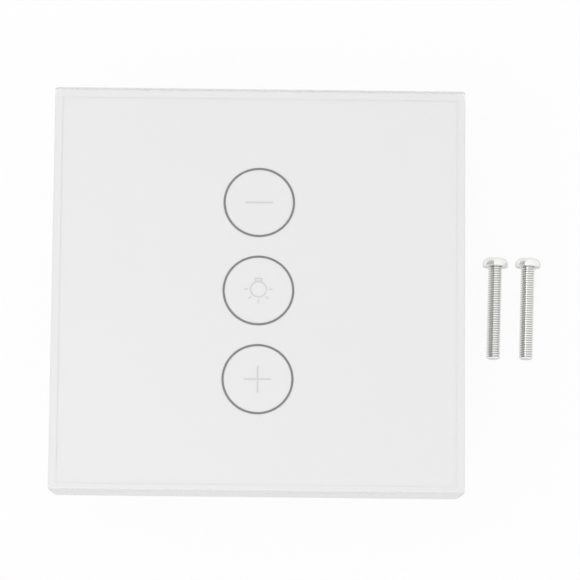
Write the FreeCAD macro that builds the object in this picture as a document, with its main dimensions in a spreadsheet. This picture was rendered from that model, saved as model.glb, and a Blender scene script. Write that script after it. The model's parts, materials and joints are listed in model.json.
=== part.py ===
"""Smart light switch: a glass touch panel, its base plate, a wall-box housing and two loose screws.

Lengths are in millimetres. The wall plane is z = 0, its centre is the origin, and +Z points out of
the glass. The switch lies on the back of its housing, as it does on a table, and the two mounting
screws lie beside it on the same table.
"""
import FreeCAD, Part
import math
import os

import Sketcher

SIZES = {
    # Glass panel and the layers behind it
    "panel_width": 86.0,
    "panel_height": 86.0,
    "glass_thickness": 3.0,
    "glass_bevel": 0.35,
    "glass_corner": 0.6,
    "ink_thickness": 0.1,
    "film_thickness": 0.2,
    "tape_thickness": 0.2,
    "tape_band": 5.0,
    # Touch keys and their printed marks
    "key_pitch": 18.95,
    "ring_diameter": 14.5,
    "ring_line": 0.45,
    "symbol_line": 0.32,
    "sign_length": 5.7,
    "bulb_line": 0.24,
    "bulb_lift": 0.25,
    "bulb_diameter": 3.3,
    "bulb_cap_width": 1.6,
    "bulb_cap_height": 0.8,
    "ray_start": 2.15,
    "ray_length": 0.8,
    # Front frame and its clips
    "frame_corner": 2.0,
    "frame_plate": 1.4,
    "frame_rim": 1.1,
    "frame_skirt_height": 1.8,
    "frame_skirt_wall": 1.6,
    "film_clearance": 0.05,
    "key_window_clearance": 0.6,
    "panel_gap": 0.3,
    "clip_inset": 5.0,
    "clip_spread": 36.0,
    "clip_width": 8.0,
    "clip_thickness": 1.2,
    "clip_nose": 0.3,
    "clip_clearance": 0.3,
    "clip_tip_level": 0.5,
    "notch_width": 10.0,
    "notch_depth": 1.2,
    "notch_height": 0.9,
    # Base plate
    "base_inset": 1.8,
    "base_thickness": 2.4,
    "base_rim_height": 3.3,
    "base_rim_wall": 1.2,
    "front_window_ledge": 1.0,
    "front_window_height": 42.0,
    "slot_spacing": 60.0,
    "slot_width": 3.8,
    "slot_length": 8.0,
    "slot_recess_margin": 1.6,
    "slot_recess_depth": 0.9,
    # Rear housing
    "housing_width": 50.0,
    "housing_depth": 28.0,
    "housing_corner": 12.0,
    "housing_wall": 1.6,
    "housing_edge": 0.8,
    "housing_seat": 0.4,
    "housing_clearance": 0.4,
    "vent_width": 1.2,
    "vent_pitch": 4.0,
    "vent_height": 10.0,
    "boss_radius": 2.4,
    "boss_inset": 3.8,
    "boss_spread": 16.0,
    "boss_length": 9.0,
    "post_radius": 2.5,
    "post_inset": 4.0,
    "post_spread": 18.0,
    # Assembly screws
    "small_screw_radius": 1.0,
    "small_screw_head_radius": 1.9,
    "small_screw_head_height": 1.1,
    "housing_screw_length": 7.0,
    "board_screw_length": 5.5,
    "screw_hole_clearance": 0.1,
    # Touch board and what it carries
    "touch_board_screw_gap": 1.3,
    "touch_board_height": 56.0,
    "touch_board_thickness": 1.0,
    "touch_board_level": 1.2,
    "board_clearance": 0.3,
    "touch_chip_width": 4.0,
    "touch_chip_length": 10.0,
    "touch_chip_height": 1.0,
    "led_length": 1.6,
    "led_width": 0.8,
    "led_height": 0.5,
    "guide_wall": 1.2,
    "guide_foot_height": 0.7,
    "guide_foot_width": 2.0,
    "film_gap": 0.15,
    "spring_diameter": 8.4,
    "spring_wire": 0.4,
    "spring_turns": 3.0,
    "spring_foot": 0.8,
    # Radio board, header and socket
    "radio_board_width": 24.0,
    "radio_board_height": 16.0,
    "radio_board_thickness": 0.8,
    "radio_board_y": 7.0,
    "shield_width": 15.0,
    "shield_height": 12.0,
    "shield_depth": 2.0,
    "shield_offset": 3.0,
    "pin_count": 7.0,
    "pin_pitch": 2.54,
    "pin_width": 0.64,
    "pin_length": 6.0,
    "pin_clearance": 0.14,
    "header_width": 2.5,
    "header_depth": 2.5,
    "header_inset": 7.5,
    "socket_width": 3.4,
    "socket_gap": 0.2,
    # Power board
    "power_board_level": 10.0,
    "power_board_thickness": 1.6,
    "part_gap": 0.8,
    # Terminal block, its cages, contacts and screws
    "pole_pitch": 7.5,
    "block_wall": 0.95,
    "block_front_wall": 2.0,
    "entry_width": 3.8,
    "cage_width": 5.8,
    "cage_depth": 5.4,
    "cage_side": 0.7,
    "cage_thread_wall": 1.4,
    "cage_clamp_wall": 1.0,
    "cage_clearance": 0.25,
    "cage_travel": 3.0,
    "contact_width": 3.6,
    "contact_thickness": 0.8,
    "terminal_screw_radius": 1.45,
    "terminal_screw_length": 6.0,
    "terminal_head_radius": 2.2,
    "terminal_head_height": 1.6,
    "terminal_head_recess": 0.4,
    "terminal_running_clearance": 0.05,
    "screw_slot_width": 0.7,
    "screw_slot_depth": 0.8,
    "driver_hole_radius": 2.5,
    # Parts on the power board
    "transformer_width": 12.0,
    "transformer_depth": 12.0,
    "transformer_height": 11.0,
    "core_band": 6.0,
    "core_plate": 2.2,
    "bulk_radius": 5.0,
    "bulk_height": 13.0,
    "fuse_radius": 3.8,
    "fuse_height": 8.0,
    "choke_radius": 3.5,
    "choke_height": 9.0,
    "choke_flange": 1.2,
    "choke_core_radius": 2.0,
    "film_capacitor_width": 12.0,
    "film_capacitor_depth": 6.0,
    "film_capacitor_height": 11.0,
    "bridge_width": 6.5,
    "bridge_depth": 4.8,
    "bridge_height": 2.6,
    "varistor_radius": 4.5,
    "varistor_thickness": 4.0,
    "varistor_lead": 1.5,
    "varistor_stand": 3.0,
    "coupler_width": 6.4,
    "coupler_depth": 4.6,
    "coupler_height": 3.4,
    "mosfet_width": 6.6,
    "mosfet_depth": 2.4,
    "mosfet_height": 9.5,
    "mosfet_pitch": 7.2,
    "heat_sink_width": 14.0,
    "heat_sink_thickness": 1.6,
    "heat_sink_height": 12.0,
    "dimmer_chip_width": 5.0,
    "dimmer_chip_depth": 4.0,
    "dimmer_chip_height": 1.5,
    # Loose mounting screws
    "mounting_screw_length": 20.0,
    "mounting_thread_radius": 1.48,
    "mounting_thread_pitch": 0.5,
    "mounting_thread_depth": 0.27,
    "mounting_head_radius": 2.7,
    "mounting_head_height": 1.8,
    "mounting_head_round": 1.2,
    "recess_width": 0.8,
    "recess_length": 3.0,
    "recess_depth": 1.3,
    "mounting_screw_gap": 7.5,
    "mounting_screw_pitch": 7.0,
    "mounting_screw_drop": 5.9,
    "mounting_screw_lean": 1.2,
}

SAME_PLACE = 1e-6
QUARTERS_PER_TURN = 4
RAY_COUNT = 5
FIRST_RAY_DEGREES = 180
RAY_STEP_DEGREES = 45
VENT_NUMBERS = range(-2, 3)

document = FreeCAD.newDocument("smart_light_switch")
pieces = []


class Size:
    """A length that holds its number and the spreadsheet expression that gives it."""

    def __init__(self, text, number):
        self.text = text
        self.number = number

    def __add__(self, other):
        return combined(self, "+", other, self.number + as_size(other).number)

    def __radd__(self, other):
        return as_size(other) + self

    def __sub__(self, other):
        return combined(self, "-", other, self.number - as_size(other).number)

    def __rsub__(self, other):
        return as_size(other) - self

    def __mul__(self, other):
        return combined(self, "*", other, self.number * as_size(other).number)

    def __rmul__(self, other):
        return as_size(other) * self

    def __truediv__(self, other):
        return combined(self, "/", other, self.number / as_size(other).number)

    def __neg__(self):
        return as_size(0) - self


def as_size(value):
    return value if isinstance(value, Size) else Size(str(value), value)


def combined(first, sign, second, number):
    return Size(f"({as_size(first).text} {sign} {as_size(second).text})", number)


def fill_sheet():
    """The spreadsheet of driving dimensions, and a Size for each of its rows."""
    sheet = document.addObject("Spreadsheet::Sheet", "sizes")
    for row, (name, number) in enumerate(SIZES.items(), start=1):
        sheet.set(f"A{row}", name.replace("_", " "))
        sheet.set(f"B{row}", str(number))
        sheet.setAlias(f"B{row}", name)
    document.recompute()
    return {name: Size(f"sizes.{name}", float(sheet.get(name))) for name in SIZES}


size = fill_sheet()
ROOT_TWO = Size("sqrt(2)", math.sqrt(2))

# Heights above the wall plane, from the base plate up to the glass
board_bottom = size["touch_board_level"]
board_top = board_bottom + size["touch_board_thickness"]
base_top = size["base_thickness"]
frame_bottom = size["base_rim_height"] + size["panel_gap"]
plate_bottom = frame_bottom + size["frame_skirt_height"]
plate_top = plate_bottom + size["frame_plate"]
film_bottom = plate_top + size["tape_thickness"]
film_top = film_bottom + size["film_thickness"]
glass_bottom = film_top + size["ink_thickness"]
film_contact = film_bottom - size["film_gap"]

# Heights inside the housing, which are below the wall plane
table = -size["housing_depth"]
floor_top = table + size["housing_wall"]
power_top = -size["power_board_level"]
power_bottom = power_top - size["power_board_thickness"]

# Heights in the terminal block, from the strip that each wire is clamped to down to the screw heads
contact_top = (power_bottom - 2 * size["cage_clearance"] - size["cage_travel"]
               - size["cage_clamp_wall"])
contact_bottom = contact_top - size["contact_thickness"]
screw_tip = contact_bottom - 2 * size["terminal_running_clearance"]
head_top = screw_tip - size["terminal_screw_length"]
head_bottom = head_top - size["terminal_head_height"]
block_bottom = head_bottom - size["terminal_head_recess"]
cage_bottom = head_top + 2 * size["cage_clearance"]
cage_window = contact_top + size["cage_clearance"] - cage_bottom - size["cage_thread_wall"]

# Places across the wall plane
film_width = size["panel_width"] - 2 * (size["frame_rim"] + size["film_clearance"])
film_height = size["panel_height"] - 2 * (size["frame_rim"] + size["film_clearance"])
base_width = size["panel_width"] - 2 * size["base_inset"]
base_height = size["panel_height"] - 2 * size["base_inset"]
housing_half = size["housing_width"] / 2
inner_half = housing_half - size["housing_wall"]
board_half = inner_half - size["housing_clearance"]
guide_radius = (size["ring_diameter"] + size["guide_wall"]) / 2
key_places = {"minus": size["key_pitch"], "lamp": as_size(0), "plus": -size["key_pitch"]}
boss_x = housing_half - size["boss_inset"]
boss_y = size["boss_spread"] / 2
post_x = size["post_spread"] / 2
post_y = housing_half - size["post_inset"]
small_hole_radius = size["small_screw_radius"] + size["screw_hole_clearance"]
touch_board_width = 2 * (boss_x - size["small_screw_head_radius"] - size["touch_board_screw_gap"])
front_window_width = touch_board_width - 2 * size["front_window_ledge"]

# Terminal block: three poles in line, their cages and screws on one centre line
pocket_width = size["cage_width"] + 2 * size["cage_clearance"]
pocket_depth = size["cage_depth"] + 4 * size["cage_clearance"] + size["contact_thickness"]
block_width = 2 * size["pole_pitch"] + pocket_width + 2 * size["block_wall"]
block_depth = size["block_front_wall"] + pocket_depth + size["block_wall"]
block_front = -board_half
pocket_front = block_front + size["block_front_wall"]
pole_y = pocket_front + size["cage_clearance"] + size["cage_depth"] / 2
pole_places = {"line": -size["pole_pitch"], "neutral": as_size(0), "lamp": size["pole_pitch"]}


def bind(thing, **lengths):
    """Tie properties of a feature to the spreadsheet."""
    for name, length in lengths.items():
        thing.setExpression(name, as_size(length).text)


def place(thing, x=0, y=0, z=0):
    for axis, distance in zip("xyz", (x, y, z)):
        thing.setExpression(f"Placement.Base.{axis}", as_size(distance).text)


def keep(thing, name):
    """Name a finished piece and list it for export."""
    thing.Label = name
    pieces.append(thing)
    return thing


def block(name, width, depth, height, x=0, y=0, z=0):
    """A box centred on x and y, with its underside at z."""
    thing = document.addObject("Part::Box", name)
    bind(thing, Length=width, Width=depth, Height=height)
    place(thing, x - as_size(width) / 2, y - as_size(depth) / 2, z)
    return thing


def rod(name, radius, height, x=0, y=0, z=0):
    """A cylinder along Z that starts at z."""
    thing = document.addObject("Part::Cylinder", name)
    bind(thing, Radius=radius, Height=height)
    place(thing, x, y, z)
    return thing


def rod_along_y(name, radius, length, x, y, z):
    """A cylinder along Y that starts at y."""
    thing = document.addObject("Part::Cylinder", name)
    thing.Placement.Rotation = FreeCAD.Rotation(FreeCAD.Vector(1, 0, 0), -90)
    bind(thing, Radius=radius, Height=length)
    place(thing, x, y, z)
    return thing


def fused(name, things):
    whole = document.addObject("Part::MultiFuse", name)
    whole.Shapes = things
    whole.Refine = True
    return whole


def without(name, base, tools):
    """The base with each of the tools cut out of it."""
    hollow = document.addObject("Part::Cut", name)
    hollow.Base = base
    hollow.Tool = tools[0] if len(tools) == 1 else fused(f"{name}_tools", tools)
    hollow.Refine = True
    return hollow


def grouped(name, things):
    """Like pieces that share one node as separate solids."""
    group = document.addObject("Part::Compound", name)
    group.Links = things
    return group


def origin_plane(body, role):
    return next(feature for feature in body.Origin.OriginFeatures if feature.Role == role)


def draw_rectangle(sketch, width, depth):
    """A rectangle about the sketch's origin, its two lengths tied to the spreadsheet."""
    half_x, half_y = width.number / 2, depth.number / 2
    corners = [(-half_x, -half_y), (half_x, -half_y), (half_x, half_y), (-half_x, half_y)]
    points = [FreeCAD.Vector(x, y, 0) for x, y in corners]
    for start, end in zip(points, points[1:] + points[:1]):
        sketch.addGeometry(Part.LineSegment(start, end))
    for side in range(4):
        sketch.addConstraint(Sketcher.Constraint("Coincident", side, 2, (side + 1) % 4, 1))
        direction = "Vertical" if side % 2 else "Horizontal"
        sketch.addConstraint(Sketcher.Constraint(direction, side))
    sketch.addConstraint(Sketcher.Constraint("Symmetric", 0, 1, 2, 1, -1, 1))
    for name, kind, side, length in (("width", "DistanceX", 0, width), ("depth", "DistanceY", 1, depth)):
        number = sketch.addConstraint(Sketcher.Constraint(kind, side, 1, side, 2, length.number))
        sketch.renameConstraint(number, name)
        bind(sketch, **{f"Constraints.{name}": length})


def padded_body(name, width, depth, height, z):
    """A body that begins as a pad on a centred rectangle, with its underside at z."""
    body = document.addObject("PartDesign::Body", name)
    sketch = body.newObject("Sketcher::SketchObject", f"{name}_outline")
    sketch.AttachmentSupport = [(origin_plane(body, "XY_Plane"), "")]
    sketch.MapMode = "FlatFace"
    draw_rectangle(sketch, width, depth)
    pad = body.newObject("PartDesign::Pad", f"{name}_pad")
    pad.Profile = sketch
    bind(pad, Length=height)
    place(body, z=z)
    document.recompute()
    return body


def edges_where(body, wanted):
    """Names of the edges of a body's last feature whose two ends pass the test."""
    names = []
    for number, edge in enumerate(body.Tip.Shape.Edges, start=1):
        ends = [vertex.Point for vertex in edge.Vertexes]
        if len(ends) == 2 and wanted(*ends):
            names.append(f"Edge{number}")
    return names


def upright(first, last):
    return math.hypot(first.x - last.x, first.y - last.y) < SAME_PLACE


def upright_at(half):
    """A test for upright edges at one distance from the body's middle."""
    return lambda first, last: upright(first, last) and abs(abs(first.x) - half.number) < SAME_PLACE


def level_with(height):
    """A test for edges that lie flat at one height in their body."""
    return lambda first, last: max(abs(first.z - height), abs(last.z - height)) < SAME_PLACE


def rounded(body, edges, radius):
    last = body.Tip
    fillet = body.newObject("PartDesign::Fillet", f"{body.Name}_round")
    fillet.Base = (last, edges)
    bind(fillet, Radius=radius)
    document.recompute()


def bevelled(body, edges, length):
    last = body.Tip
    chamfer = body.newObject("PartDesign::Chamfer", f"{body.Name}_bevel")
    chamfer.Base = (last, edges)
    bind(chamfer, Size=length)
    document.recompute()


def feature_box(body, kind, name, width, depth, height, x, y, z):
    """A box added to or cut from a body, centred on x and y, in the body's own heights."""
    feature = body.newObject(f"PartDesign::{kind}Box", f"{body.Name}_{name}")
    bind(feature, Length=width, Width=depth, Height=height)
    place(feature, x - as_size(width) / 2, y - as_size(depth) / 2, z)


def feature_rod(body, kind, name, radius, height, x, y, z):
    """A cylinder along Z added to or cut from a body, in the body's own heights."""
    feature = body.newObject(f"PartDesign::{kind}Cylinder", f"{body.Name}_{name}")
    bind(feature, Radius=radius, Height=height)
    place(feature, x, y, z)


def both_signs():
    return [(x, y) for x in (-1, 1) for y in (-1, 1)]


# Front panel


def make_glass_panel():
    """Square glass with small upright corners and a polished bevel round both faces."""
    body = padded_body("glass_panel", size["panel_width"], size["panel_height"],
                       size["glass_thickness"], glass_bottom)
    rounded(body, edges_where(body, upright), size["glass_corner"])
    top = size["glass_thickness"].number
    faces = edges_where(body, level_with(top)) + edges_where(body, level_with(0))
    bevelled(body, faces, size["glass_bevel"])
    keep(body, "glass_panel")


def flat_ring(name, diameter, line, y=0):
    """A printed circle: its line runs along the given diameter."""
    outer = rod(f"{name}_outer", (diameter + line) / 2, size["ink_thickness"], 0, y, film_top)
    inner = rod(f"{name}_inner", (diameter - line) / 2, size["ink_thickness"], 0, y, film_top)
    return without(name, outer, [inner])


def flat_bar(name, width, height, x=0, y=0):
    return block(name, width, height, size["ink_thickness"], x, y, film_top)


def make_ring_marks():
    """One printed circle round each touch key."""
    rings = [
        flat_ring(f"ring_{key}", size["ring_diameter"], size["ring_line"], y)
        for key, y in key_places.items()
    ]
    keep(grouped("ring_marks", rings), "ring_marks")


def make_lamp_symbol():
    """A small bulb with its cap above it and five rays on its other sides."""
    line = size["bulb_line"]
    bulb_y = size["bulb_lift"]
    bulb = flat_ring("bulb_ring", size["bulb_diameter"], line, bulb_y)
    cap_y = bulb_y + (size["bulb_diameter"] + size["bulb_cap_height"]) / 2
    cap = without(
        "bulb_cap",
        flat_bar("bulb_cap_outer", size["bulb_cap_width"], size["bulb_cap_height"], 0, cap_y),
        [flat_bar("bulb_cap_inner", size["bulb_cap_width"] - 2 * line,
                  size["bulb_cap_height"] - 2 * line, 0, cap_y)],
    )
    rays = []
    for number in range(RAY_COUNT):
        degrees = FIRST_RAY_DEGREES + RAY_STEP_DEGREES * number
        angle = Size(f"({degrees} deg)", math.radians(degrees))
        along = Size(f"cos({angle.text})", math.cos(angle.number))
        across = Size(f"sin({angle.text})", math.sin(angle.number))
        ray = document.addObject("Part::Box", f"ray_{number}")
        bind(ray, Length=size["ray_length"], Width=line, Height=size["ink_thickness"])
        ray.Placement.Rotation = FreeCAD.Rotation(FreeCAD.Vector(0, 0, 1), degrees)
        place(ray, size["ray_start"] * along + line / 2 * across,
              bulb_y + size["ray_start"] * across - line / 2 * along, film_top)
        rays.append(ray)
    return [fused("bulb", [bulb, cap])] + rays


def make_symbol_marks():
    """The printed minus, lamp and plus inside the rings."""
    length, line = size["sign_length"], size["symbol_line"]
    minus = flat_bar("minus_sign", length, line, 0, key_places["minus"])
    plus = fused("plus_sign", [
        flat_bar("plus_across", length, line, 0, key_places["plus"]),
        flat_bar("plus_upright", line, length, 0, key_places["plus"]),
    ])
    keep(grouped("symbol_marks", [minus, plus] + make_lamp_symbol()), "symbol_marks")


def make_graphic_film():
    """White film that carries the printed marks, inside the frame's rim."""
    body = padded_body("graphic_film", film_width, film_height, size["film_thickness"], film_bottom)
    rounded(body, edges_where(body, upright), size["frame_corner"] - size["frame_rim"])
    keep(body, "graphic_film")


def make_adhesive_tape():
    """A band of double-sided tape round the edge of the film."""
    band = block("tape_sheet", film_width, film_height, size["tape_thickness"], 0, 0, plate_top)
    window = block("tape_window", film_width - 2 * size["tape_band"],
                   film_height - 2 * size["tape_band"], size["tape_thickness"], 0, 0, plate_top)
    corners = block("tape_corners", film_width - size["frame_corner"],
                    film_height, size["tape_thickness"], 0, 0, plate_top)
    sides = block("tape_sides", film_width, film_height - size["frame_corner"],
                  size["tape_thickness"], 0, 0, plate_top)
    trimmed = document.addObject("Part::MultiCommon", "tape_outline")
    trimmed.Shapes = [band, fused("tape_cross", [corners, sides])]
    keep(without("adhesive_tape", trimmed, [window]), "adhesive_tape")


def make_front_frame():
    """The plastic frame under the glass: rim, skirt, key windows, four clips and a pry notch."""
    skirt = size["frame_skirt_height"]
    rim_bottom = skirt + size["frame_plate"]
    rim_height = glass_bottom - plate_top
    body = padded_body("front_frame", size["panel_width"], size["panel_height"],
                       rim_bottom + rim_height, frame_bottom)
    rounded(body, edges_where(body, upright), size["frame_corner"])
    rim = 2 * size["frame_rim"]
    feature_box(body, "Subtractive", "film_seat", size["panel_width"] - rim,
                size["panel_height"] - rim, rim_height, 0, 0, rim_bottom)
    skirt_walls = 2 * size["frame_skirt_wall"]
    feature_box(body, "Subtractive", "underside", size["panel_width"] - skirt_walls,
                size["panel_height"] - skirt_walls, skirt, 0, 0, 0)
    for key, y in key_places.items():
        feature_rod(body, "Subtractive", f"window_{key}", guide_radius + size["key_window_clearance"],
                    rim_bottom, 0, y, 0)
    arm = size["clip_thickness"]
    reach = frame_bottom - size["clip_tip_level"]
    outer_x = size["panel_width"] / 2 - size["clip_inset"]
    for number, (side, end) in enumerate(both_signs()):
        y = end * size["clip_spread"] / 2
        feature_box(body, "Additive", f"clip_{number}", arm, size["clip_width"], reach + skirt,
                    side * (outer_x - arm / 2), y, -reach)
        feature_box(body, "Additive", f"nose_{number}", size["clip_nose"], size["clip_width"],
                    size["clip_nose"] * 2, side * (outer_x + size["clip_nose"] / 2), y, -reach)
    feature_box(body, "Subtractive", "pry_notch", size["notch_width"], size["notch_depth"] * 2,
                size["notch_height"], 0, size["panel_height"] / 2, 0)
    keep(body, "front_frame")


# Base plate and housing


def make_base_plate():
    """The plate that screws to the wall box, with a rim, a board pocket and two slots."""
    body = padded_body("base_plate", base_width, base_height, size["base_rim_height"], 0)
    rounded(body, edges_where(body, upright), size["frame_corner"])
    wall = 2 * size["base_rim_wall"]
    rise = size["base_rim_height"] - base_top
    feature_box(body, "Subtractive", "tray", base_width - wall, base_height - wall, rise, 0, 0, base_top)
    clearance = 2 * size["board_clearance"]
    feature_box(body, "Subtractive", "board_pocket", touch_board_width + clearance,
                size["touch_board_height"] + clearance, base_top - board_bottom, 0, 0, board_bottom)
    feature_box(body, "Subtractive", "front_window", front_window_width,
                size["front_window_height"], board_bottom, 0, 0, 0)
    seat = size["housing_width"] + 2 * size["housing_clearance"]
    feature_box(body, "Subtractive", "housing_seat", seat, seat, size["housing_seat"], 0, 0, 0)
    straight = size["slot_length"] - size["slot_width"]
    margin = 2 * size["slot_recess_margin"]
    for side, name in ((-1, "left"), (1, "right")):
        x = side * size["slot_spacing"] / 2
        feature_box(body, "Subtractive", f"slot_{name}", straight, size["slot_width"], base_top, x, 0, 0)
        for end in (-1, 1):
            feature_rod(body, "Subtractive", f"slot_{name}_end", size["slot_width"] / 2, base_top,
                        x + end * straight / 2, 0, 0)
        feature_box(body, "Subtractive", f"recess_{name}", size["slot_length"] + margin,
                    size["slot_width"] + margin, size["slot_recess_depth"], x, 0,
                    base_top - size["slot_recess_depth"])
    for number, (side, end) in enumerate(both_signs()):
        feature_rod(body, "Subtractive", f"screw_hole_{number}", small_hole_radius, base_top,
                    side * boss_x, end * boss_y, 0)
        feature_rod(body, "Subtractive", f"screw_seat_{number}",
                    size["small_screw_head_radius"] + size["screw_hole_clearance"],
                    base_top - board_bottom, side * boss_x, end * boss_y, board_bottom)
        depth = size["clip_thickness"] + size["clip_nose"] + 2 * size["clip_clearance"]
        centre = (size["panel_width"] / 2 - size["clip_inset"] - size["clip_thickness"]
                  - size["clip_clearance"] + depth / 2)
        feature_box(body, "Subtractive", f"latch_{number}", depth,
                    size["clip_width"] + 2 * size["clip_clearance"], base_top,
                    side * centre, end * size["clip_spread"] / 2, 0)
    keep(body, "base_plate")


def make_rear_housing():
    """The wall-box housing: eight-sided, open to the front, with bosses, posts, vents and wire holes."""
    full_height = size["housing_depth"] + size["housing_seat"]
    body = padded_body("rear_housing", size["housing_width"], size["housing_width"], full_height, table)
    feature_box(body, "Subtractive", "hollow", 2 * inner_half, 2 * inner_half,
                full_height - size["housing_wall"], 0, 0, size["housing_wall"])
    document.recompute()
    inner_corner = size["housing_corner"] - size["housing_wall"] * (2 - ROOT_TWO)
    bevelled(body, edges_where(body, upright_at(inner_half)), inner_corner)
    bevelled(body, edges_where(body, upright_at(housing_half)), size["housing_corner"])
    bevelled(body, edges_where(body, level_with(0)), size["housing_edge"])
    wall = size["housing_wall"]
    boss_height = size["boss_length"] + size["housing_seat"]
    for number, (side, end) in enumerate(both_signs()):
        x, y = side * boss_x, end * boss_y
        feature_rod(body, "Additive", f"boss_{number}", size["boss_radius"], boss_height, x, y,
                    full_height - boss_height)
        feature_rod(body, "Subtractive", f"boss_hole_{number}", small_hole_radius,
                    boss_height - size["boss_radius"] / 2, x, y,
                    full_height - boss_height + size["boss_radius"] / 2)
    post_height = power_bottom - table
    for number, side in enumerate((-1, 1)):
        feature_rod(body, "Additive", f"post_{number}", size["post_radius"], post_height - wall / 2,
                    side * post_x, post_y, wall / 2)
        feature_rod(body, "Subtractive", f"post_hole_{number}", small_hole_radius,
                    size["board_screw_length"], side * post_x, post_y,
                    post_height - size["board_screw_length"])
    vent_middle = (floor_top + power_bottom) / 2 - table
    for number, steps in enumerate(VENT_NUMBERS):
        feature_box(body, "Subtractive", f"vent_{number}", size["housing_width"] * 2,
                    size["vent_width"], size["vent_height"], 0, steps * size["vent_pitch"],
                    vent_middle - size["vent_height"] / 2)
    entry_bottom = contact_top - table
    for name, x in pole_places.items():
        feature_rod(body, "Subtractive", f"driver_hole_{name}", size["driver_hole_radius"], wall,
                    x, pole_y, 0)
        feature_box(body, "Subtractive", f"wire_hole_{name}", size["entry_width"], wall * 2,
                    size["entry_width"], x, -housing_half + wall / 2, entry_bottom)
    keep(body, "rear_housing")


def pan_screw(name, length, x, y, seat):
    """A small self-tapping screw whose head sits on the given height and points up."""
    head = rod(f"{name}_head", size["small_screw_head_radius"], size["small_screw_head_height"], x, y, seat)
    shank = rod(f"{name}_shank", size["small_screw_radius"], length, x, y, seat - length)
    slots = [
        block(f"{name}_{part}", width, depth, size["screw_slot_depth"], x, y,
              seat + size["small_screw_head_height"] - size["screw_slot_depth"] / 2)
        for part, width, depth in (
            ("cross_a", size["small_screw_head_radius"], size["screw_slot_width"] / 2),
            ("cross_b", size["screw_slot_width"] / 2, size["small_screw_head_radius"]),
        )
    ]
    return without(name, fused(f"{name}_blank", [head, shank]), slots)


def make_assembly_screws():
    """Four screws hold the housing to the base plate, and two hold the power board."""
    housing_screws = [
        pan_screw(f"housing_screw_{number}", size["housing_screw_length"],
                  side * boss_x, end * boss_y, board_bottom)
        for number, (side, end) in enumerate(both_signs())
    ]
    keep(grouped("housing_screws", housing_screws), "housing_screws")
    board_screws = [
        pan_screw(f"board_screw_{number}", size["board_screw_length"], side * post_x, post_y, power_top)
        for number, side in enumerate((-1, 1))
    ]
    keep(grouped("power_board_screws", board_screws), "power_board_screws")


# Touch board


def make_touch_board():
    """The key board in the base plate's pocket, with its touch chip and six lamps."""
    board = block("touch_board", touch_board_width, size["touch_board_height"],
                  size["touch_board_thickness"], 0, 0, board_bottom)
    keep(board, "touch_board")
    chip_x = (guide_radius + touch_board_width / 2) / 2
    chip = block("touch_chip", size["touch_chip_width"], size["touch_chip_length"],
                 size["touch_chip_height"], chip_x, 0, board_top)
    keep(chip, "touch_chip")
    lamps = [
        block(f"lamp_{key}_{side}", size["led_length"], size["led_width"], size["led_height"],
              side_sign * size["ring_diameter"] / 2, y, board_top)
        for key, y in key_places.items()
        for side, side_sign in (("left", -1), ("right", 1))
    ]
    keep(grouped("led_chips", lamps), "led_chips")


def make_light_guide(key, y):
    """A milky ring on two feet that carries light up to the printed circle."""
    outer = guide_radius
    inner = guide_radius - size["guide_wall"]
    ring_bottom = board_top + size["guide_foot_height"]
    height = film_contact - ring_bottom
    name = f"light_guide_{key}"
    ring = without(f"{name}_ring", rod(f"{name}_outer", outer, height, 0, y, ring_bottom),
                   [rod(f"{name}_inner", inner, height, 0, y, ring_bottom)])
    feet = [
        block(f"{name}_foot_{number}", size["guide_foot_width"], size["guide_wall"] / 2,
              film_contact - board_top, 0, y + side * size["ring_diameter"] / 2, board_top)
        for number, side in enumerate((-1, 1))
    ]
    keep(fused(name, [ring] + feet), name)


def arc_through(start, start_way, end):
    """An arc that leaves the start along its way and ends at the end, and its direction there."""
    chord = end - start
    unit = chord / chord.Length
    end_way = unit * (2 * start_way.dot(unit)) - start_way
    bisector = start_way + unit
    middle_way = bisector / bisector.Length
    half = chord.Length / 2
    turn = math.acos(max(-1.0, min(1.0, start_way.dot(unit)))) / 2
    middle = start + middle_way * (half / math.cos(turn))
    return Part.Arc(start, middle, end).toShape(), end_way


def biarc(start, start_way, end, end_way):
    """Two arcs that join at a shared direction, from one point and way to another."""
    span = end - start
    ways = start_way + end_way
    a = 2 * (1 - start_way.dot(end_way))
    b = 2 * span.dot(ways)
    c = -span.dot(span)
    reach = (-b + math.sqrt(b * b - 4 * a * c)) / (2 * a)
    joint = (start + start_way * reach + end - end_way * reach) / 2
    first, joint_way = arc_through(start, start_way, joint)
    second, _ = arc_through(joint, joint_way, end)
    return [first, second]


def coil_edges(radius, pitch, turns, base):
    """Edges of a rising coil about Z, a biarc for each quarter turn, and its end and end way."""
    rise = pitch / (2 * math.pi)
    length = math.hypot(radius, rise)

    def point(angle):
        return base + FreeCAD.Vector(radius * math.cos(angle), radius * math.sin(angle), rise * angle)

    def way(angle):
        return FreeCAD.Vector(-radius * math.sin(angle), radius * math.cos(angle), rise) / length

    edges = []
    quarter = 2 * math.pi / QUARTERS_PER_TURN
    for number in range(round(turns * QUARTERS_PER_TURN)):
        low, high = number * quarter, (number + 1) * quarter
        edges += biarc(point(low), way(low), point(high), way(high))
    return edges, point, way


def least_gap(path, wire, near):
    """Least gap between stretches of a wire, on points that lie farther apart along it than near."""
    step = wire / 2
    points = path.discretize(Distance=step)
    apart = math.ceil(near / step)
    return min(
        first.distanceToPoint(second) - wire
        for number, first in enumerate(points)
        for second in points[number + apart:]
    )


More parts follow.
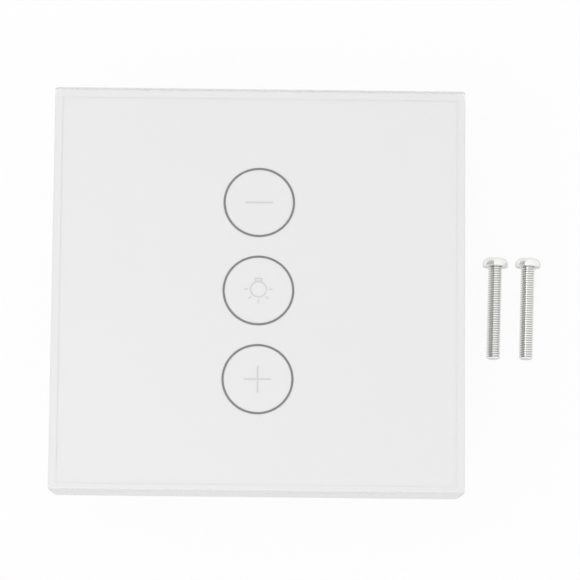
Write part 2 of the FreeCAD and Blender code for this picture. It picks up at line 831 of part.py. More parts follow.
def make_touch_spring(key, y):
    """A wire spring that stands on the board and carries the touch up to the film."""
    wire = size["spring_wire"].number
    radius = (size["spring_diameter"] - size["spring_wire"]).number / 2
    turns = size["spring_turns"].number
    bottom = board_top.number
    foot_height = size["spring_foot"].number
    pitch = (film_contact.number - wire / 2 - bottom - foot_height) / turns
    base = FreeCAD.Vector(0, 0, bottom + foot_height)
    edges, point, way = coil_edges(radius, pitch, turns, base)
    start, start_way = point(0), way(0)
    foot_top = start - start_way * wire - FreeCAD.Vector(0, 0, foot_height / 2)
    elbow, _ = arc_through(foot_top, FreeCAD.Vector(0, 0, 1), start)
    foot = Part.LineSegment(FreeCAD.Vector(foot_top.x, foot_top.y, bottom), foot_top).toShape()
    last = turns * 2 * math.pi
    tail = Part.LineSegment(point(last), point(last) + way(last) * wire).toShape()
    path = Part.Wire([foot, elbow] + edges + [tail])
    section = Part.Wire(Part.makeCircle(wire / 2, FreeCAD.Vector(foot_top.x, foot_top.y, bottom)))
    coil = path.makePipeShell([section], True, False)
    print("touch spring", key, "least gap", round(least_gap(path, wire, math.pi * radius), 3))
    spring = document.addObject("Part::Feature", f"touch_spring_{key}")
    spring.Shape = coil
    spring.Placement = FreeCAD.Placement(FreeCAD.Vector(0, y.number, 0), FreeCAD.Rotation())
    keep(spring, f"touch_spring_{key}")


# Radio board, header and socket


def make_radio_board():
    """The radio board under the touch board, with a metal can over its chip."""
    top = board_bottom
    bottom = top - size["radio_board_thickness"]
    y = size["radio_board_y"]
    board = block("wifi_board", size["radio_board_width"], size["radio_board_height"],
                  size["radio_board_thickness"], 0, y, bottom)
    keep(board, "wifi_board")
    can = block("wifi_shield", size["shield_width"], size["shield_height"], size["shield_depth"],
                -size["shield_offset"], y, bottom - size["shield_depth"])
    keep(can, "wifi_shield")


def pin_places():
    """X of each header pin, with the row centred on the board."""
    count = int(size["pin_count"].number)
    return [(number - (count - 1) / 2) * size["pin_pitch"] for number in range(count)]


def make_header():
    """A pin header under the touch board and the tall socket that it plugs into."""
    y = size["header_inset"] - board_half
    length = size["pin_count"] * size["pin_pitch"]
    strip_bottom = board_bottom - size["header_depth"]
    strip = block("header_strip", length, size["header_width"], size["header_depth"], 0, y, strip_bottom)
    pins = [
        block(f"pin_{number}", size["pin_width"], size["pin_width"],
              size["pin_length"] + size["header_depth"] / 2, x, y, strip_bottom - size["pin_length"])
        for number, x in enumerate(pin_places())
    ]
    keep(fused("board_header", [strip] + pins), "board_header")
    socket_top = strip_bottom - size["socket_gap"]
    hole_width = size["pin_width"] + 2 * size["pin_clearance"]
    depth = size["pin_length"] + 2 * size["socket_gap"]
    shell = block("socket_shell", length, size["socket_width"], socket_top - power_top, 0, y, power_top)
    holes = [
        block(f"pin_hole_{number}", hole_width, hole_width, depth, x, y, socket_top - depth)
        for number, x in enumerate(pin_places())
    ]
    keep(without("header_socket", shell, holes), "header_socket")


# Power board and its parts


def hung(name, width, depth, height, x, y):
    """A box under the power board."""
    return block(name, width, depth, height, x, y, power_bottom - height)


def make_power_board():
    """The mains board: the housing's inner outline less a clearance, with two screw holes."""
    body = padded_body("power_board", 2 * board_half, 2 * board_half,
                       size["power_board_thickness"], power_bottom)
    cut = size["housing_corner"] - (size["housing_wall"] + size["housing_clearance"]) * (2 - ROOT_TWO)
    bevelled(body, edges_where(body, upright), cut)
    for number, side in enumerate((-1, 1)):
        feature_rod(body, "Subtractive", f"hole_{number}", small_hole_radius,
                    size["power_board_thickness"], side * post_x, post_y, 0)
    keep(body, "power_board")
    chip = block("dimmer_chip", size["dimmer_chip_width"], size["dimmer_chip_depth"],
                 size["dimmer_chip_height"], 0, size["radio_board_y"], power_top)
    keep(chip, "dimmer_chip")


def make_terminal_block():
    """Three-pole terminal block: cage pockets open to the board, wire entries in front."""
    y = block_front + block_depth / 2
    shell = hung("terminal_shell", block_width, block_depth, power_bottom - block_bottom, 0, y)
    tools = []
    for name, x in pole_places.items():
        pocket_bottom = cage_bottom - size["cage_clearance"]
        tools.append(block(f"pocket_{name}", pocket_width, pocket_depth, power_bottom - pocket_bottom,
                           x, pocket_front + pocket_depth / 2, pocket_bottom))
        tools.append(rod(f"head_bore_{name}",
                         size["terminal_head_radius"] + 2 * size["terminal_running_clearance"],
                         pocket_bottom - block_bottom, x, pole_y, block_bottom))
        tools.append(block(f"entry_{name}", size["entry_width"], size["block_front_wall"],
                           size["entry_width"], x, block_front + size["block_front_wall"] / 2,
                           contact_top))
    keep(without("terminal_block", shell, tools), "terminal_block")


def make_terminal_contacts():
    """A brass strip through each cage, bent up to the power board behind it."""
    thickness = size["contact_thickness"]
    leg_y = pocket_front + pocket_depth - size["cage_clearance"] - thickness / 2
    start_y = pocket_front + size["cage_clearance"]
    length = leg_y + thickness / 2 - start_y
    contacts = []
    for name, x in pole_places.items():
        strip = block(f"strip_{name}", size["contact_width"], length, thickness,
                      x, start_y + length / 2, contact_bottom)
        leg = block(f"leg_{name}", size["contact_width"], thickness, power_bottom - contact_bottom,
                    x, leg_y, contact_bottom)
        contacts.append(fused(f"contact_{name}", [strip, leg]))
    keep(grouped("terminal_contacts", contacts), "terminal_contacts")


def make_terminal_cage(name, x):
    """The rising cage that pulls a wire up against its strip, drawn fully closed."""
    height = size["cage_thread_wall"] + cage_window + size["cage_clamp_wall"]
    shell = block(f"cage_shell_{name}", size["cage_width"], size["cage_depth"], height,
                  x, pole_y, cage_bottom)
    opening = block(f"cage_opening_{name}", size["cage_width"] - 2 * size["cage_side"],
                    size["cage_depth"], cage_window, x, pole_y, cage_bottom + size["cage_thread_wall"])
    thread = rod(f"cage_thread_{name}",
                 size["terminal_screw_radius"] + size["terminal_running_clearance"],
                 size["cage_thread_wall"], x, pole_y, cage_bottom)
    label = f"terminal_cage_{name}"
    keep(without(label, shell, [opening, thread]), label)


def make_terminal_screw(name, x):
    """A slotted clamp screw, its head facing the back of the housing."""
    head = rod(f"clamp_head_{name}", size["terminal_head_radius"], size["terminal_head_height"],
               x, pole_y, head_bottom)
    shank = rod(f"clamp_shank_{name}", size["terminal_screw_radius"], size["terminal_screw_length"],
                x, pole_y, head_top)
    slot = block(f"clamp_slot_{name}", size["terminal_head_radius"] * 2, size["screw_slot_width"],
                 size["screw_slot_depth"], x, pole_y, head_bottom)
    label = f"terminal_screw_{name}"
    keep(without(label, fused(f"clamp_blank_{name}", [head, shank]), [slot]), label)


def make_power_parts():
    """The mains parts that hang under the power board, in two rows behind the terminal block."""
    gap = size["part_gap"]
    edge = board_half - size["board_clearance"]
    row_y = block_front + block_depth + 2 * gap + size["transformer_depth"] / 2
    make_transformer(-size["transformer_width"] / 2, row_y)
    make_choke(size["choke_radius"] - edge, row_y)
    bulk_x = gap + size["bulk_radius"]
    keep(rod("bulk_capacitor", size["bulk_radius"], size["bulk_height"], bulk_x, row_y,
             power_bottom - size["bulk_height"]), "bulk_capacitor")
    keep(rod("fuse", size["fuse_radius"], size["fuse_height"], edge - size["fuse_radius"], row_y,
             power_bottom - size["fuse_height"]), "fuse")
    make_second_row(row_y + size["transformer_depth"] / 2 + gap, edge)


def make_transformer(x, y):
    """A ferrite band round a taped winding that is wider than it."""
    width = size["transformer_width"] - 2 * size["core_plate"]
    height = size["transformer_height"] - 2 * size["core_plate"]
    bottom = power_bottom - size["transformer_height"] + size["core_plate"]
    core = hung("core_blank", size["transformer_width"], size["core_band"],
                size["transformer_height"], x, y)
    window = block("core_window", width, size["core_band"], height, x, y, bottom)
    keep(without("transformer_core", core, [window]), "transformer_core")
    keep(block("transformer_winding", width, size["transformer_depth"], height, x, y, bottom),
         "transformer_winding")


def make_choke(x, y):
    """A drum-shaped ferrite core and the winding between its flanges."""
    bottom = power_bottom - size["choke_height"]
    flange = size["choke_flange"]
    drum = fused("choke_core", [
        rod("choke_flange_low", size["choke_radius"], flange, x, y, bottom),
        rod("choke_flange_high", size["choke_radius"], flange, x, y, power_bottom - flange),
        rod("choke_centre", size["choke_core_radius"], size["choke_height"], x, y, bottom),
    ])
    keep(drum, "choke_core")
    length = size["choke_height"] - 2 * flange
    coil = without("choke_winding", rod("winding_outer", size["choke_radius"] - flange / 4, length,
                                        x, y, bottom + flange),
                   [rod("winding_inner", size["choke_core_radius"], length, x, y, bottom + flange)])
    keep(coil, "choke_winding")


def make_second_row(row_start, edge):
    """Film capacitor and bridge on one side, varistor, coupler, transistors and heat sink on the other."""
    gap = size["part_gap"]
    keep(hung("film_capacitor", size["film_capacitor_width"], size["film_capacitor_depth"],
              size["film_capacitor_height"], -gap - size["film_capacitor_width"] / 2,
              row_start + size["film_capacitor_depth"] / 2), "film_capacitor")
    keep(hung("bridge_rectifier", size["bridge_width"], size["bridge_depth"], size["bridge_height"],
              size["bridge_width"] / 2 - edge, row_start + size["bridge_depth"] / 2), "bridge_rectifier")
    varistor_x = gap + size["varistor_radius"]
    disc = rod_along_y("varistor_disc", size["varistor_radius"], size["varistor_thickness"],
                       varistor_x, row_start, power_bottom - size["varistor_radius"] - size["varistor_lead"])
    stand = hung("varistor_stand", size["varistor_radius"], size["varistor_thickness"] / 2,
                 size["varistor_stand"], varistor_x, row_start + size["varistor_thickness"] / 2)
    keep(fused("varistor", [disc, stand]), "varistor")
    coupler_x = varistor_x + size["varistor_radius"] + gap + size["coupler_width"] / 2
    keep(hung("optocoupler", size["coupler_width"], size["coupler_depth"], size["coupler_height"],
              coupler_x, row_start + size["coupler_depth"] / 2), "optocoupler")
    mosfet_y = row_start + size["coupler_depth"] + gap + size["mosfet_depth"] / 2
    sink_x = gap + size["heat_sink_width"] / 2
    for side, name in ((-1, "left"), (1, "right")):
        label = f"mosfet_{name}"
        keep(hung(label, size["mosfet_width"], size["mosfet_depth"], size["mosfet_height"],
                  sink_x + side * size["mosfet_pitch"] / 2, mosfet_y), label)
    sink_y = mosfet_y + (size["mosfet_depth"] + size["heat_sink_thickness"]) / 2
    keep(hung("heat_sink", size["heat_sink_width"], size["heat_sink_thickness"],
              size["heat_sink_height"], sink_x, sink_y), "heat_sink")


# Loose mounting screws


def screw_profile():
    """Half outline of a mounting screw about Z: its tip at zero, thread grooves and a rounded head."""
    radius = size["mounting_thread_radius"].number
    pitch = size["mounting_thread_pitch"].number
    root = radius - size["mounting_thread_depth"].number
    length = size["mounting_screw_length"].number
    head = size["mounting_head_radius"].number
    corner = size["mounting_head_round"].number
    top = length + size["mounting_head_height"].number
    points = [FreeCAD.Vector(0, 0, 0), FreeCAD.Vector(root, 0, 0)]
    for number in range(int((length - pitch) / pitch)):
        base = (number + 0.5) * pitch
        points.append(FreeCAD.Vector(radius, 0, base))
        points.append(FreeCAD.Vector(root, 0, base + pitch / 2))
    points += [FreeCAD.Vector(root, 0, length), FreeCAD.Vector(head, 0, length),
               FreeCAD.Vector(head, 0, top - corner)]
    edges = [Part.LineSegment(a, b).toShape() for a, b in zip(points, points[1:])]
    bend = corner * (1 - math.sqrt(0.5))
    crown_edge = FreeCAD.Vector(head - corner, 0, top)
    crown = FreeCAD.Vector(0, 0, top)
    edges.append(Part.Arc(points[-1], FreeCAD.Vector(head - bend, 0, top - bend), crown_edge).toShape())
    edges += [Part.LineSegment(crown_edge, crown).toShape(), Part.LineSegment(crown, points[0]).toShape()]
    return Part.Face(Part.Wire(edges))


def make_mounting_screw(name, x):
    """A machine screw that lies on the table on the rim of its head and the tip of its thread."""
    screw = screw_profile().revolve(FreeCAD.Vector(), FreeCAD.Vector(0, 0, 1), 360)
    top = (size["mounting_screw_length"] + size["mounting_head_height"]).number
    depth = size["recess_depth"].number
    for width, length in ((size["recess_width"], size["recess_length"]),
                          (size["recess_length"], size["recess_width"])):
        corner = FreeCAD.Vector(-width.number / 2, -length.number / 2, top - depth)
        screw = screw.cut(Part.makeBox(width.number, length.number, depth * 2, corner))
    radius = size["mounting_thread_radius"].number
    head = size["mounting_head_radius"].number
    first_crest = size["mounting_thread_pitch"].number / 2
    tilt = math.atan2(head - radius, size["mounting_screw_length"].number - first_crest)
    lowest = first_crest * math.sin(tilt) - radius * math.cos(tilt)
    flat = FreeCAD.Rotation(FreeCAD.Vector(1, 0, 0), -90 + math.degrees(tilt))
    lean = FreeCAD.Rotation(FreeCAD.Vector(0, 0, 1), -size["mounting_screw_lean"].number)
    thing = document.addObject("Part::Feature", name)
    thing.Shape = screw
    turned = lean.multiply(flat)
    thing.Placement = FreeCAD.Placement(
        FreeCAD.Vector(x.number, -size["mounting_screw_drop"].number, table.number - lowest), turned)
    keep(thing, name)


def make_all():
    make_glass_panel()
    make_ring_marks()
    make_symbol_marks()
    make_graphic_film()
    make_adhesive_tape()
    make_front_frame()
    make_base_plate()
    make_rear_housing()
    make_assembly_screws()
    make_touch_board()
    for key, y in key_places.items():
        make_light_guide(key, y)
        make_touch_spring(key, y)
    make_radio_board()
    make_header()
    make_power_board()
    make_terminal_block()
    make_terminal_contacts()
    for name, x in pole_places.items():
        make_terminal_cage(name, x)
        make_terminal_screw(name, x)
    make_power_parts()
    first_x = size["panel_width"] / 2 + size["mounting_screw_gap"]
    make_mounting_screw("mounting_screw_left", first_x)
    make_mounting_screw("mounting_screw_right", first_x + size["mounting_screw_pitch"])


def check_and_export():
    """Stop at any failed feature or empty piece, then write one STEP file per piece."""
    document.recompute()
    for feature in document.Objects:
        if "Invalid" in feature.State or "Error" in feature.State:
            raise RuntimeError(f"{feature.Name} did not compute: {feature.State}")
    os.makedirs("parts", exist_ok=True)
    for piece in pieces:
        if piece.Shape.isNull() or not piece.Shape.isValid():
            raise RuntimeError(f"{piece.Label} has no valid shape")
    for piece in pieces:
        piece.Shape.exportStep(os.path.join("parts", f"{piece.Label}.step"))
        print(piece.Label, len(piece.Shape.Solids), round(piece.Shape.Volume, 2))


make_all()
check_and_export()
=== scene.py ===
"""The looks of a glass touch light switch that lies on its back beside its two mounting screws."""
import json
import math
from contextlib import contextmanager

import bmesh
import bpy
from bpy.props import FloatProperty, FloatVectorProperty, IntProperty, PointerProperty
from mathutils import Euler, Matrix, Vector

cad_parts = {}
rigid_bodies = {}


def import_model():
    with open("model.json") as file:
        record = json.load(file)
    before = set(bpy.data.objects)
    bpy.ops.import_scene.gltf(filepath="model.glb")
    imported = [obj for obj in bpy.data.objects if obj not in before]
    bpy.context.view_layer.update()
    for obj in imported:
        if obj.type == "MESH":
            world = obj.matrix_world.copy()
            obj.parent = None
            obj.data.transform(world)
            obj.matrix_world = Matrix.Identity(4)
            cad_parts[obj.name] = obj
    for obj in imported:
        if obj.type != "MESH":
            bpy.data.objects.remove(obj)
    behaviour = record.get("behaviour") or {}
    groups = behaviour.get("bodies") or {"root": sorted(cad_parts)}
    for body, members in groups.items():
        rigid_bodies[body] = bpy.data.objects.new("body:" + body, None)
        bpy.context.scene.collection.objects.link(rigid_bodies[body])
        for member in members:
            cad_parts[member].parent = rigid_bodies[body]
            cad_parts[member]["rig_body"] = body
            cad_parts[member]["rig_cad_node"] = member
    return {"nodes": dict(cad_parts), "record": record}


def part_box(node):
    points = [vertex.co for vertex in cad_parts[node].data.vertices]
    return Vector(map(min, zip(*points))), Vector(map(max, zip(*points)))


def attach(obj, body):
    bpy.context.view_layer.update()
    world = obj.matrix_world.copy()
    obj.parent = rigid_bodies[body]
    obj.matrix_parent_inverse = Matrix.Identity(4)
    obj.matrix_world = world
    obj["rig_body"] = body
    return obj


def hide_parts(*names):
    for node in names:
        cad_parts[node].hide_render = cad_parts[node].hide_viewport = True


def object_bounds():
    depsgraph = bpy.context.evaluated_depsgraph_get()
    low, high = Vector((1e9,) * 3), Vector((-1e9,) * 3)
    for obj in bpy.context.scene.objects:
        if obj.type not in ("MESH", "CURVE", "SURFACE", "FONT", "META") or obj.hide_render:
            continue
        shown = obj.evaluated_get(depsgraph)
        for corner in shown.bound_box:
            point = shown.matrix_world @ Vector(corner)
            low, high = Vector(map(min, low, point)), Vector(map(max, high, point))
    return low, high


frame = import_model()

bl_info = {
    "name": "Glass Touch Light Switch",
    "version": (1, 0, 0),
    "blender": (4, 5, 0),
    "location": "View3D > Sidebar > Light Switch",
    "description": "Builds the visible pieces, the finishes and the studio of a glass touch light switch",
    "category": "Add Mesh",
}

CAD_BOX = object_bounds()
MM = 0.001
FULL_TURN = 2 * math.pi
HALF_TURN = math.pi
QUARTER_TURN = math.pi / 2
WELD = 1e-6
FLAT_ANGLE = math.radians(1)
SMOOTH_ANGLE = math.radians(35)
SWITCH_BODY = "switch_body"
PANEL_BODY = "front_panel"
KEYS = ("minus", "lamp", "plus")
POLES = ("line", "neutral", "lamp")
SIDES = ("left", "right")
# Attribute that says where the screws' finish paints shade: in the thread roots and the cross recess
ROOT_SHADE = "root_shade"


# Selecting and editing

def activate(piece):
    """Selects this piece alone, because an operator acts on all that is selected."""
    bpy.ops.object.select_all(action="DESELECT")
    piece.select_set(True)
    bpy.context.view_layer.objects.active = piece


@contextmanager
def editing(piece, kind="FACE"):
    """Edit mode on one piece, with nothing selected in it at first."""
    activate(piece)
    bpy.ops.object.mode_set(mode="EDIT")
    bpy.ops.mesh.select_mode(type=kind)
    bpy.ops.mesh.select_all(action="DESELECT")
    yield
    bpy.ops.object.mode_set(mode="OBJECT")


def pick(piece, kind, wanted):
    """In edit mode, selects just the vertices, edges or faces for which wanted is true."""
    bpy.ops.mesh.select_mode(type=kind)
    bpy.ops.mesh.select_all(action="DESELECT")
    mesh = bmesh.from_edit_mesh(piece.data)
    for part in {"VERT": mesh.verts, "EDGE": mesh.edges, "FACE": mesh.faces}[kind]:
        if wanted(part):
            part.select_set(True)
    mesh.select_flush_mode()
    bmesh.update_edit_mesh(piece.data)


def every_edge(edge):
    """Leaves no edge out."""
    return True


def climbs(edge):
    """Whether the edge's two ends lie at different heights."""
    return abs(edge.verts[0].co.z - edge.verts[1].co.z) > WELD


def faces_down(face):
    """Whether the face looks downwards."""
    return face.normal.z < -0.5


def lies_at(height):
    """A test for the edges or faces that lie flat at this height."""
    return lambda part: all(abs(corner.co.z - height) < WELD for corner in part.verts)


def extrude(offset):
    """In edit mode, extrudes what is selected by the offset."""
    bpy.ops.mesh.extrude_region_move(TRANSFORM_OT_translate={"value": offset})


def named(piece, name):
    """The piece and its mesh under one name."""
    piece.name = name
    piece.data.name = name
    return piece


def added(primitive, name, **settings):
    """A new piece that starts as one of Blender's primitives."""
    bpy.ops.object.select_all(action="DESELECT")
    primitive(**settings)
    return named(bpy.context.object, name)


def settle(piece):
    """Puts the piece's place, turn and scale into its mesh."""
    activate(piece)
    bpy.ops.object.transform_apply(location=True, rotation=True, scale=True)
    return piece


def placed(piece, x, y, z=0, turn=(0, 0, 0)):
    """Turns the piece about its origin, then puts its origin here."""
    piece.rotation_euler = turn
    piece.location = (x, y, z)
    return settle(piece)


def apply_modifier(piece, kind, **settings):
    """Adds a modifier with these settings and applies it."""
    activate(piece)
    modifier = piece.modifiers.new(kind.lower(), kind)
    for setting, value in settings.items():
        setattr(modifier, setting, value)
    bpy.ops.object.modifier_apply(modifier=modifier.name)
    return piece


def weld_all():
    """In edit mode, selects everything and joins doubled points."""
    bpy.ops.mesh.select_all(action="SELECT")
    bpy.ops.mesh.remove_doubles(threshold=WELD)


def tidy_faces(piece):
    """Joins doubled points and turns every face outwards."""
    with editing(piece):
        weld_all()
        bpy.ops.mesh.normals_make_consistent(inside=False)
    return piece


def smooth(piece):
    """Smooth shading over all but sharp edges, with large flat faces kept flat."""
    activate(piece)
    bpy.ops.object.shade_smooth_by_angle(angle=SMOOTH_ANGLE)
    return apply_modifier(piece, "WEIGHTED_NORMAL", weight=100, keep_sharp=True)


def joined(pieces, name):
    """Several pieces as one, each still its own shell."""
    bpy.ops.object.select_all(action="DESELECT")
    for piece in pieces:
        piece.select_set(True)
    bpy.context.view_layer.objects.active = pieces[0]
    bpy.ops.object.join()
    return named(bpy.context.object, name)


def copy_of(piece, offset=(0, 0, 0)):
    """A copy with its own mesh, moved by the offset."""
    activate(piece)
    bpy.ops.object.duplicate(linked=False)
    bpy.ops.transform.translate(value=offset)
    return settle(bpy.context.object)


def copies_at(piece, places, name):
    """The piece at each of the places, as one piece of separate shells."""
    made = [copy_of(piece, place) for place in places]
    bpy.data.objects.remove(piece)
    return joined(made, name)


def spaced(count, pitch, middle=0):
    """Evenly spaced distances, with their middle here."""
    return [middle + (number - (count - 1) / 2) * pitch for number in range(count)]


def cut_with(piece, tool, operation="DIFFERENCE"):
    """Cuts, joins or trims the piece with a tool that is then thrown away."""
    apply_modifier(piece, "BOOLEAN", operation=operation, object=tool, solver="EXACT")
    bpy.data.objects.remove(tool)
    return piece


# Ways of making a shape

def block(name, low, high):
    """A rectangular block between two corners."""
    low, high = Vector(low), Vector(high)
    piece = added(bpy.ops.mesh.primitive_cube_add, name, size=1, location=(low + high) / 2)
    piece.scale = high - low
    return settle(piece)


def drawn_line(name, points):
    """A row of edges through the points, extruded point by point."""
    piece = added(bpy.ops.mesh.primitive_plane_add, name, size=MM)
    points = [Vector(point) for point in points]
    with editing(piece, "VERT"):
        bpy.ops.mesh.select_all(action="SELECT")
        bpy.ops.mesh.merge(type="CENTER")
        bpy.ops.transform.translate(value=points[0])
        for start, end in zip(points, points[1:]):
            extrude(end - start)
    return piece


def turned(name, profile, steps=48, closed=False):
    """A solid turned about Z. The profile holds radius and height, from pole to pole or closed to a ring."""
    profile = profile + profile[:1] if closed else profile
    piece = drawn_line(name, [(radius, 0, height) for radius, height in profile])
    with editing(piece, "EDGE"):
        bpy.ops.mesh.select_all(action="SELECT")
        bpy.ops.mesh.spin(steps=steps, angle=FULL_TURN, center=(0, 0, 0), axis=(0, 0, 1))
    return tidy_faces(piece)


def rounded_corner(centre, radius, first=0, last=90, steps=6):
    """Radius and height along an arc between two angles in degrees, where 0 is outwards and 90 is up."""
    angles = [math.radians(first + (last - first) * step / steps) for step in range(steps + 1)]
    return [(centre[0] + radius * math.cos(a), centre[1] + radius * math.sin(a)) for a in angles]


def rounded_frame(left, right, bottom, top, rounding):
    """The outline of a ring's section with its four corners rounded."""
    inner, outer, lower, upper = left + rounding, right - rounding, bottom + rounding, top - rounding
    centres = ((outer, lower), (outer, upper), (inner, upper), (inner, lower))
    outline = []
    for centre, first in zip(centres, (-90, 0, 90, 180)):
        outline += rounded_corner(centre, rounding, first, first + 90, steps=3)
    return outline


def bent_strip(name, path, across, thickness):
    """A strip that follows the path, as wide as across, with its thickness in the plane of the path."""
    across = Vector(across)
    piece = drawn_line(name, [Vector(point) - across / 2 for point in path])
    with editing(piece, "EDGE"):
        bpy.ops.mesh.select_all(action="SELECT")
        extrude(across)
    apply_modifier(piece, "SOLIDIFY", thickness=thickness, offset=0, use_even_offset=True)
    return tidy_faces(piece)


def wound(piece, pitch, turns, steps=36):
    """Winds an outline about Z, rising by the pitch with each turn, and closes both ends."""
    apply_modifier(piece, "SCREW", axis="Z", angle=FULL_TURN, screw_offset=pitch, iterations=turns,
                   steps=steps, render_steps=steps, use_merge_vertices=True, merge_threshold=WELD)
    with editing(piece):
        weld_all()
        bpy.ops.mesh.fill_holes(sides=0)
    return tidy_faces(piece)


def bevelled_edges(piece, width, segments=2, wanted=every_edge):
    """Rounds the sharp edges that are wanted."""
    with editing(piece, "EDGE"):
        pick(piece, "EDGE", lambda edge: edge.calc_face_angle(0) > SMOOTH_ANGLE and wanted(edge))
        bpy.ops.mesh.bevel(offset=width, segments=segments, clamp_overlap=True)
    return piece


def bevelled_corners(piece, radius):
    """Rounds the corners that stand upright on a plate or a block."""
    with editing(piece):
        pick(piece, "EDGE", climbs)
        bpy.ops.mesh.bevel(offset=radius, segments=6)
    return piece


def bevelled_rim(piece, height, width, segments):
    """Rounds the edges at one height."""
    with editing(piece):
        pick(piece, "EDGE", lies_at(height))
        bpy.ops.mesh.bevel(offset=width, segments=segments)
    return piece


def drilled(piece, place, radius, depth, turn=(0, 0, 0), corners=24):
    """Cuts a round hole about a place, as deep to one side of it as to the other."""
    drill = added(bpy.ops.mesh.primitive_cylinder_add, "drill_tool", radius=radius, depth=depth,
                  vertices=corners, location=place, rotation=turn)
    return cut_with(piece, settle(drill))


def rounded_copy(node, name, radius, segments=2, wanted=every_edge):
    """A node's own shape with its sharp edges rounded where wanted, as a mould or a cutter leaves them."""
    piece = frame["nodes"][node].copy()
    piece.data = piece.data.copy()
    piece.parent = None
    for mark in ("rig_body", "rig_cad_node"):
        del piece[mark]
    bpy.context.scene.collection.objects.link(piece)
    named(piece, name)
    with editing(piece):
        weld_all()
        bpy.ops.mesh.dissolve_limited(angle_limit=FLAT_ANGLE)
    return bevelled_edges(piece, radius, segments, wanted)


def hand_over(piece, slot, *nodes, body=SWITCH_BODY):
    """Smooths a finished piece, gives it its finish and its body, and hides the nodes that it stands for."""
    smooth(settle(piece))
    piece.data.materials.clear()
    piece.data.materials.append(finish_of(slot))
    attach(piece, body)
    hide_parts(*nodes)


def middle_of(node):
    """The centre of a node's box."""
    low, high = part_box(node)
    return (low + high) / 2


# Nodes of a material

def add_node(tree, kind, inputs=(), **settings):
    """A node with its settings, and with each named input set to a value or linked to an output."""
    node = tree.nodes.new(kind)
    for setting, value in settings.items():
        setattr(node, setting, value)
    for socket, value in dict(inputs).items():
        if isinstance(value, bpy.types.NodeSocket):
            tree.links.new(value, node.inputs[socket])
        else:
            node.inputs[socket].default_value = value
    return node


def maths(tree, operation, *values):
    """The outcome of one sum on the values."""
    return add_node(tree, "ShaderNodeMath", enumerate(values), operation=operation).outputs[0]


def ramp(tree, value, low, high, start=0.0, end=1.0):
    """Rises from low to high while the value rises from start to end."""
    return add_node(tree, "ShaderNodeMapRange", {"Value": value, "From Min": start, "From Max": end,
                                                 "To Min": low, "To Max": high}).outputs[0]


def colour_between(tree, share, first, second):
    """The first colour, given over to the second by the share."""
    return add_node(tree, "ShaderNodeMix", {0: share, 6: first, 7: second}, data_type="RGBA").outputs[2]


def shader_between(tree, share, first, second):
    """The first shader, given over to the second by the share."""
    return add_node(tree, "ShaderNodeMixShader", {0: share, 1: first, 2: second}).outputs[0]


def own_place(tree):
    """The piece's own coordinates and normal."""
    return add_node(tree, "ShaderNodeTexCoord").outputs


def height_of(tree, vector):
    """The Z of a place or a direction."""
    return add_node(tree, "ShaderNodeSeparateXYZ", {0: vector}).outputs["Z"]


def noise(tree, scale, detail=2.0, stretch=(1, 1, 1)):
    """Noise on the piece's own coordinates, drawn out along the axes where stretch is small."""
    drawn_out = add_node(tree, "ShaderNodeMapping", {"Vector": own_place(tree)["Object"], "Scale": stretch})
    return add_node(tree, "ShaderNodeTexNoise",
                    {"Vector": drawn_out.outputs[0], "Scale": scale, "Detail": detail}).outputs["Fac"]


# Effects that materials share. What a group puts out has the name of the input that it feeds.

def new_group(name, inputs, outputs):
    """An empty shader group with named sockets, and its input and output nodes."""
    group = bpy.data.node_groups.new(name, "ShaderNodeTree")
    for direction, sockets in (("INPUT", inputs), ("OUTPUT", outputs)):
        for socket, kind in sockets.items():
            group.interface.new_socket(socket, in_out=direction, socket_type="NodeSocket" + kind)
    return group, add_node(group, "NodeGroupInput").outputs, add_node(group, "NodeGroupOutput").inputs


def surface_group(name, pattern_input, pattern_kind, make_patterns, gloss_swing):
    """A group that turns one pattern of noise into tone, and another into gloss and relief."""
    group, given, made = new_group(
        name, {"Colour": "Color", "Tone": "Float", "Roughness": "Float", pattern_input: pattern_kind,
               "Depth": "Float"},
        {"Base Color": "Color", "Roughness": "Float", "Normal": "Vector"})
    tone, grain = make_patterns(group, given[pattern_input])
    level = maths(group, "SUBTRACT", 1.0, maths(group, "MULTIPLY", tone, given["Tone"]))
    tint = add_node(group, "ShaderNodeVectorMath", {0: given["Colour"], 1: level}, operation="MULTIPLY")
    relief = add_node(group, "ShaderNodeBump", {"Height": grain, "Distance": given["Depth"]})
    group.links.new(tint.outputs[0], made["Base Color"])
    group.links.new(maths(group, "MULTIPLY_ADD", grain, gloss_swing, given["Roughness"]), made["Roughness"])
    group.links.new(relief.outputs[0], made["Normal"])
    return group


def moulded_grain_group():
    """Plastic from a mould: a faint flow of tone, and a fine grain in gloss and relief."""
    def flow_and_grain(group, grain):
        return noise(group, scale=90, detail=3), noise(group, scale=grain)

    return surface_group("moulded_grain", "Grain", "Float", flow_and_grain, gloss_swing=0.12)


def metal_streaks_group():
    """Drawn, rolled or plated metal: the same fine streaks in tone, gloss and relief."""
    def streaks_twice(group, stretch):
        streaks = noise(group, scale=900, detail=3, stretch=stretch)
        return streaks, streaks

    return surface_group("metal_streaks", "Stretch", "Vector", streaks_twice, gloss_swing=0.15)


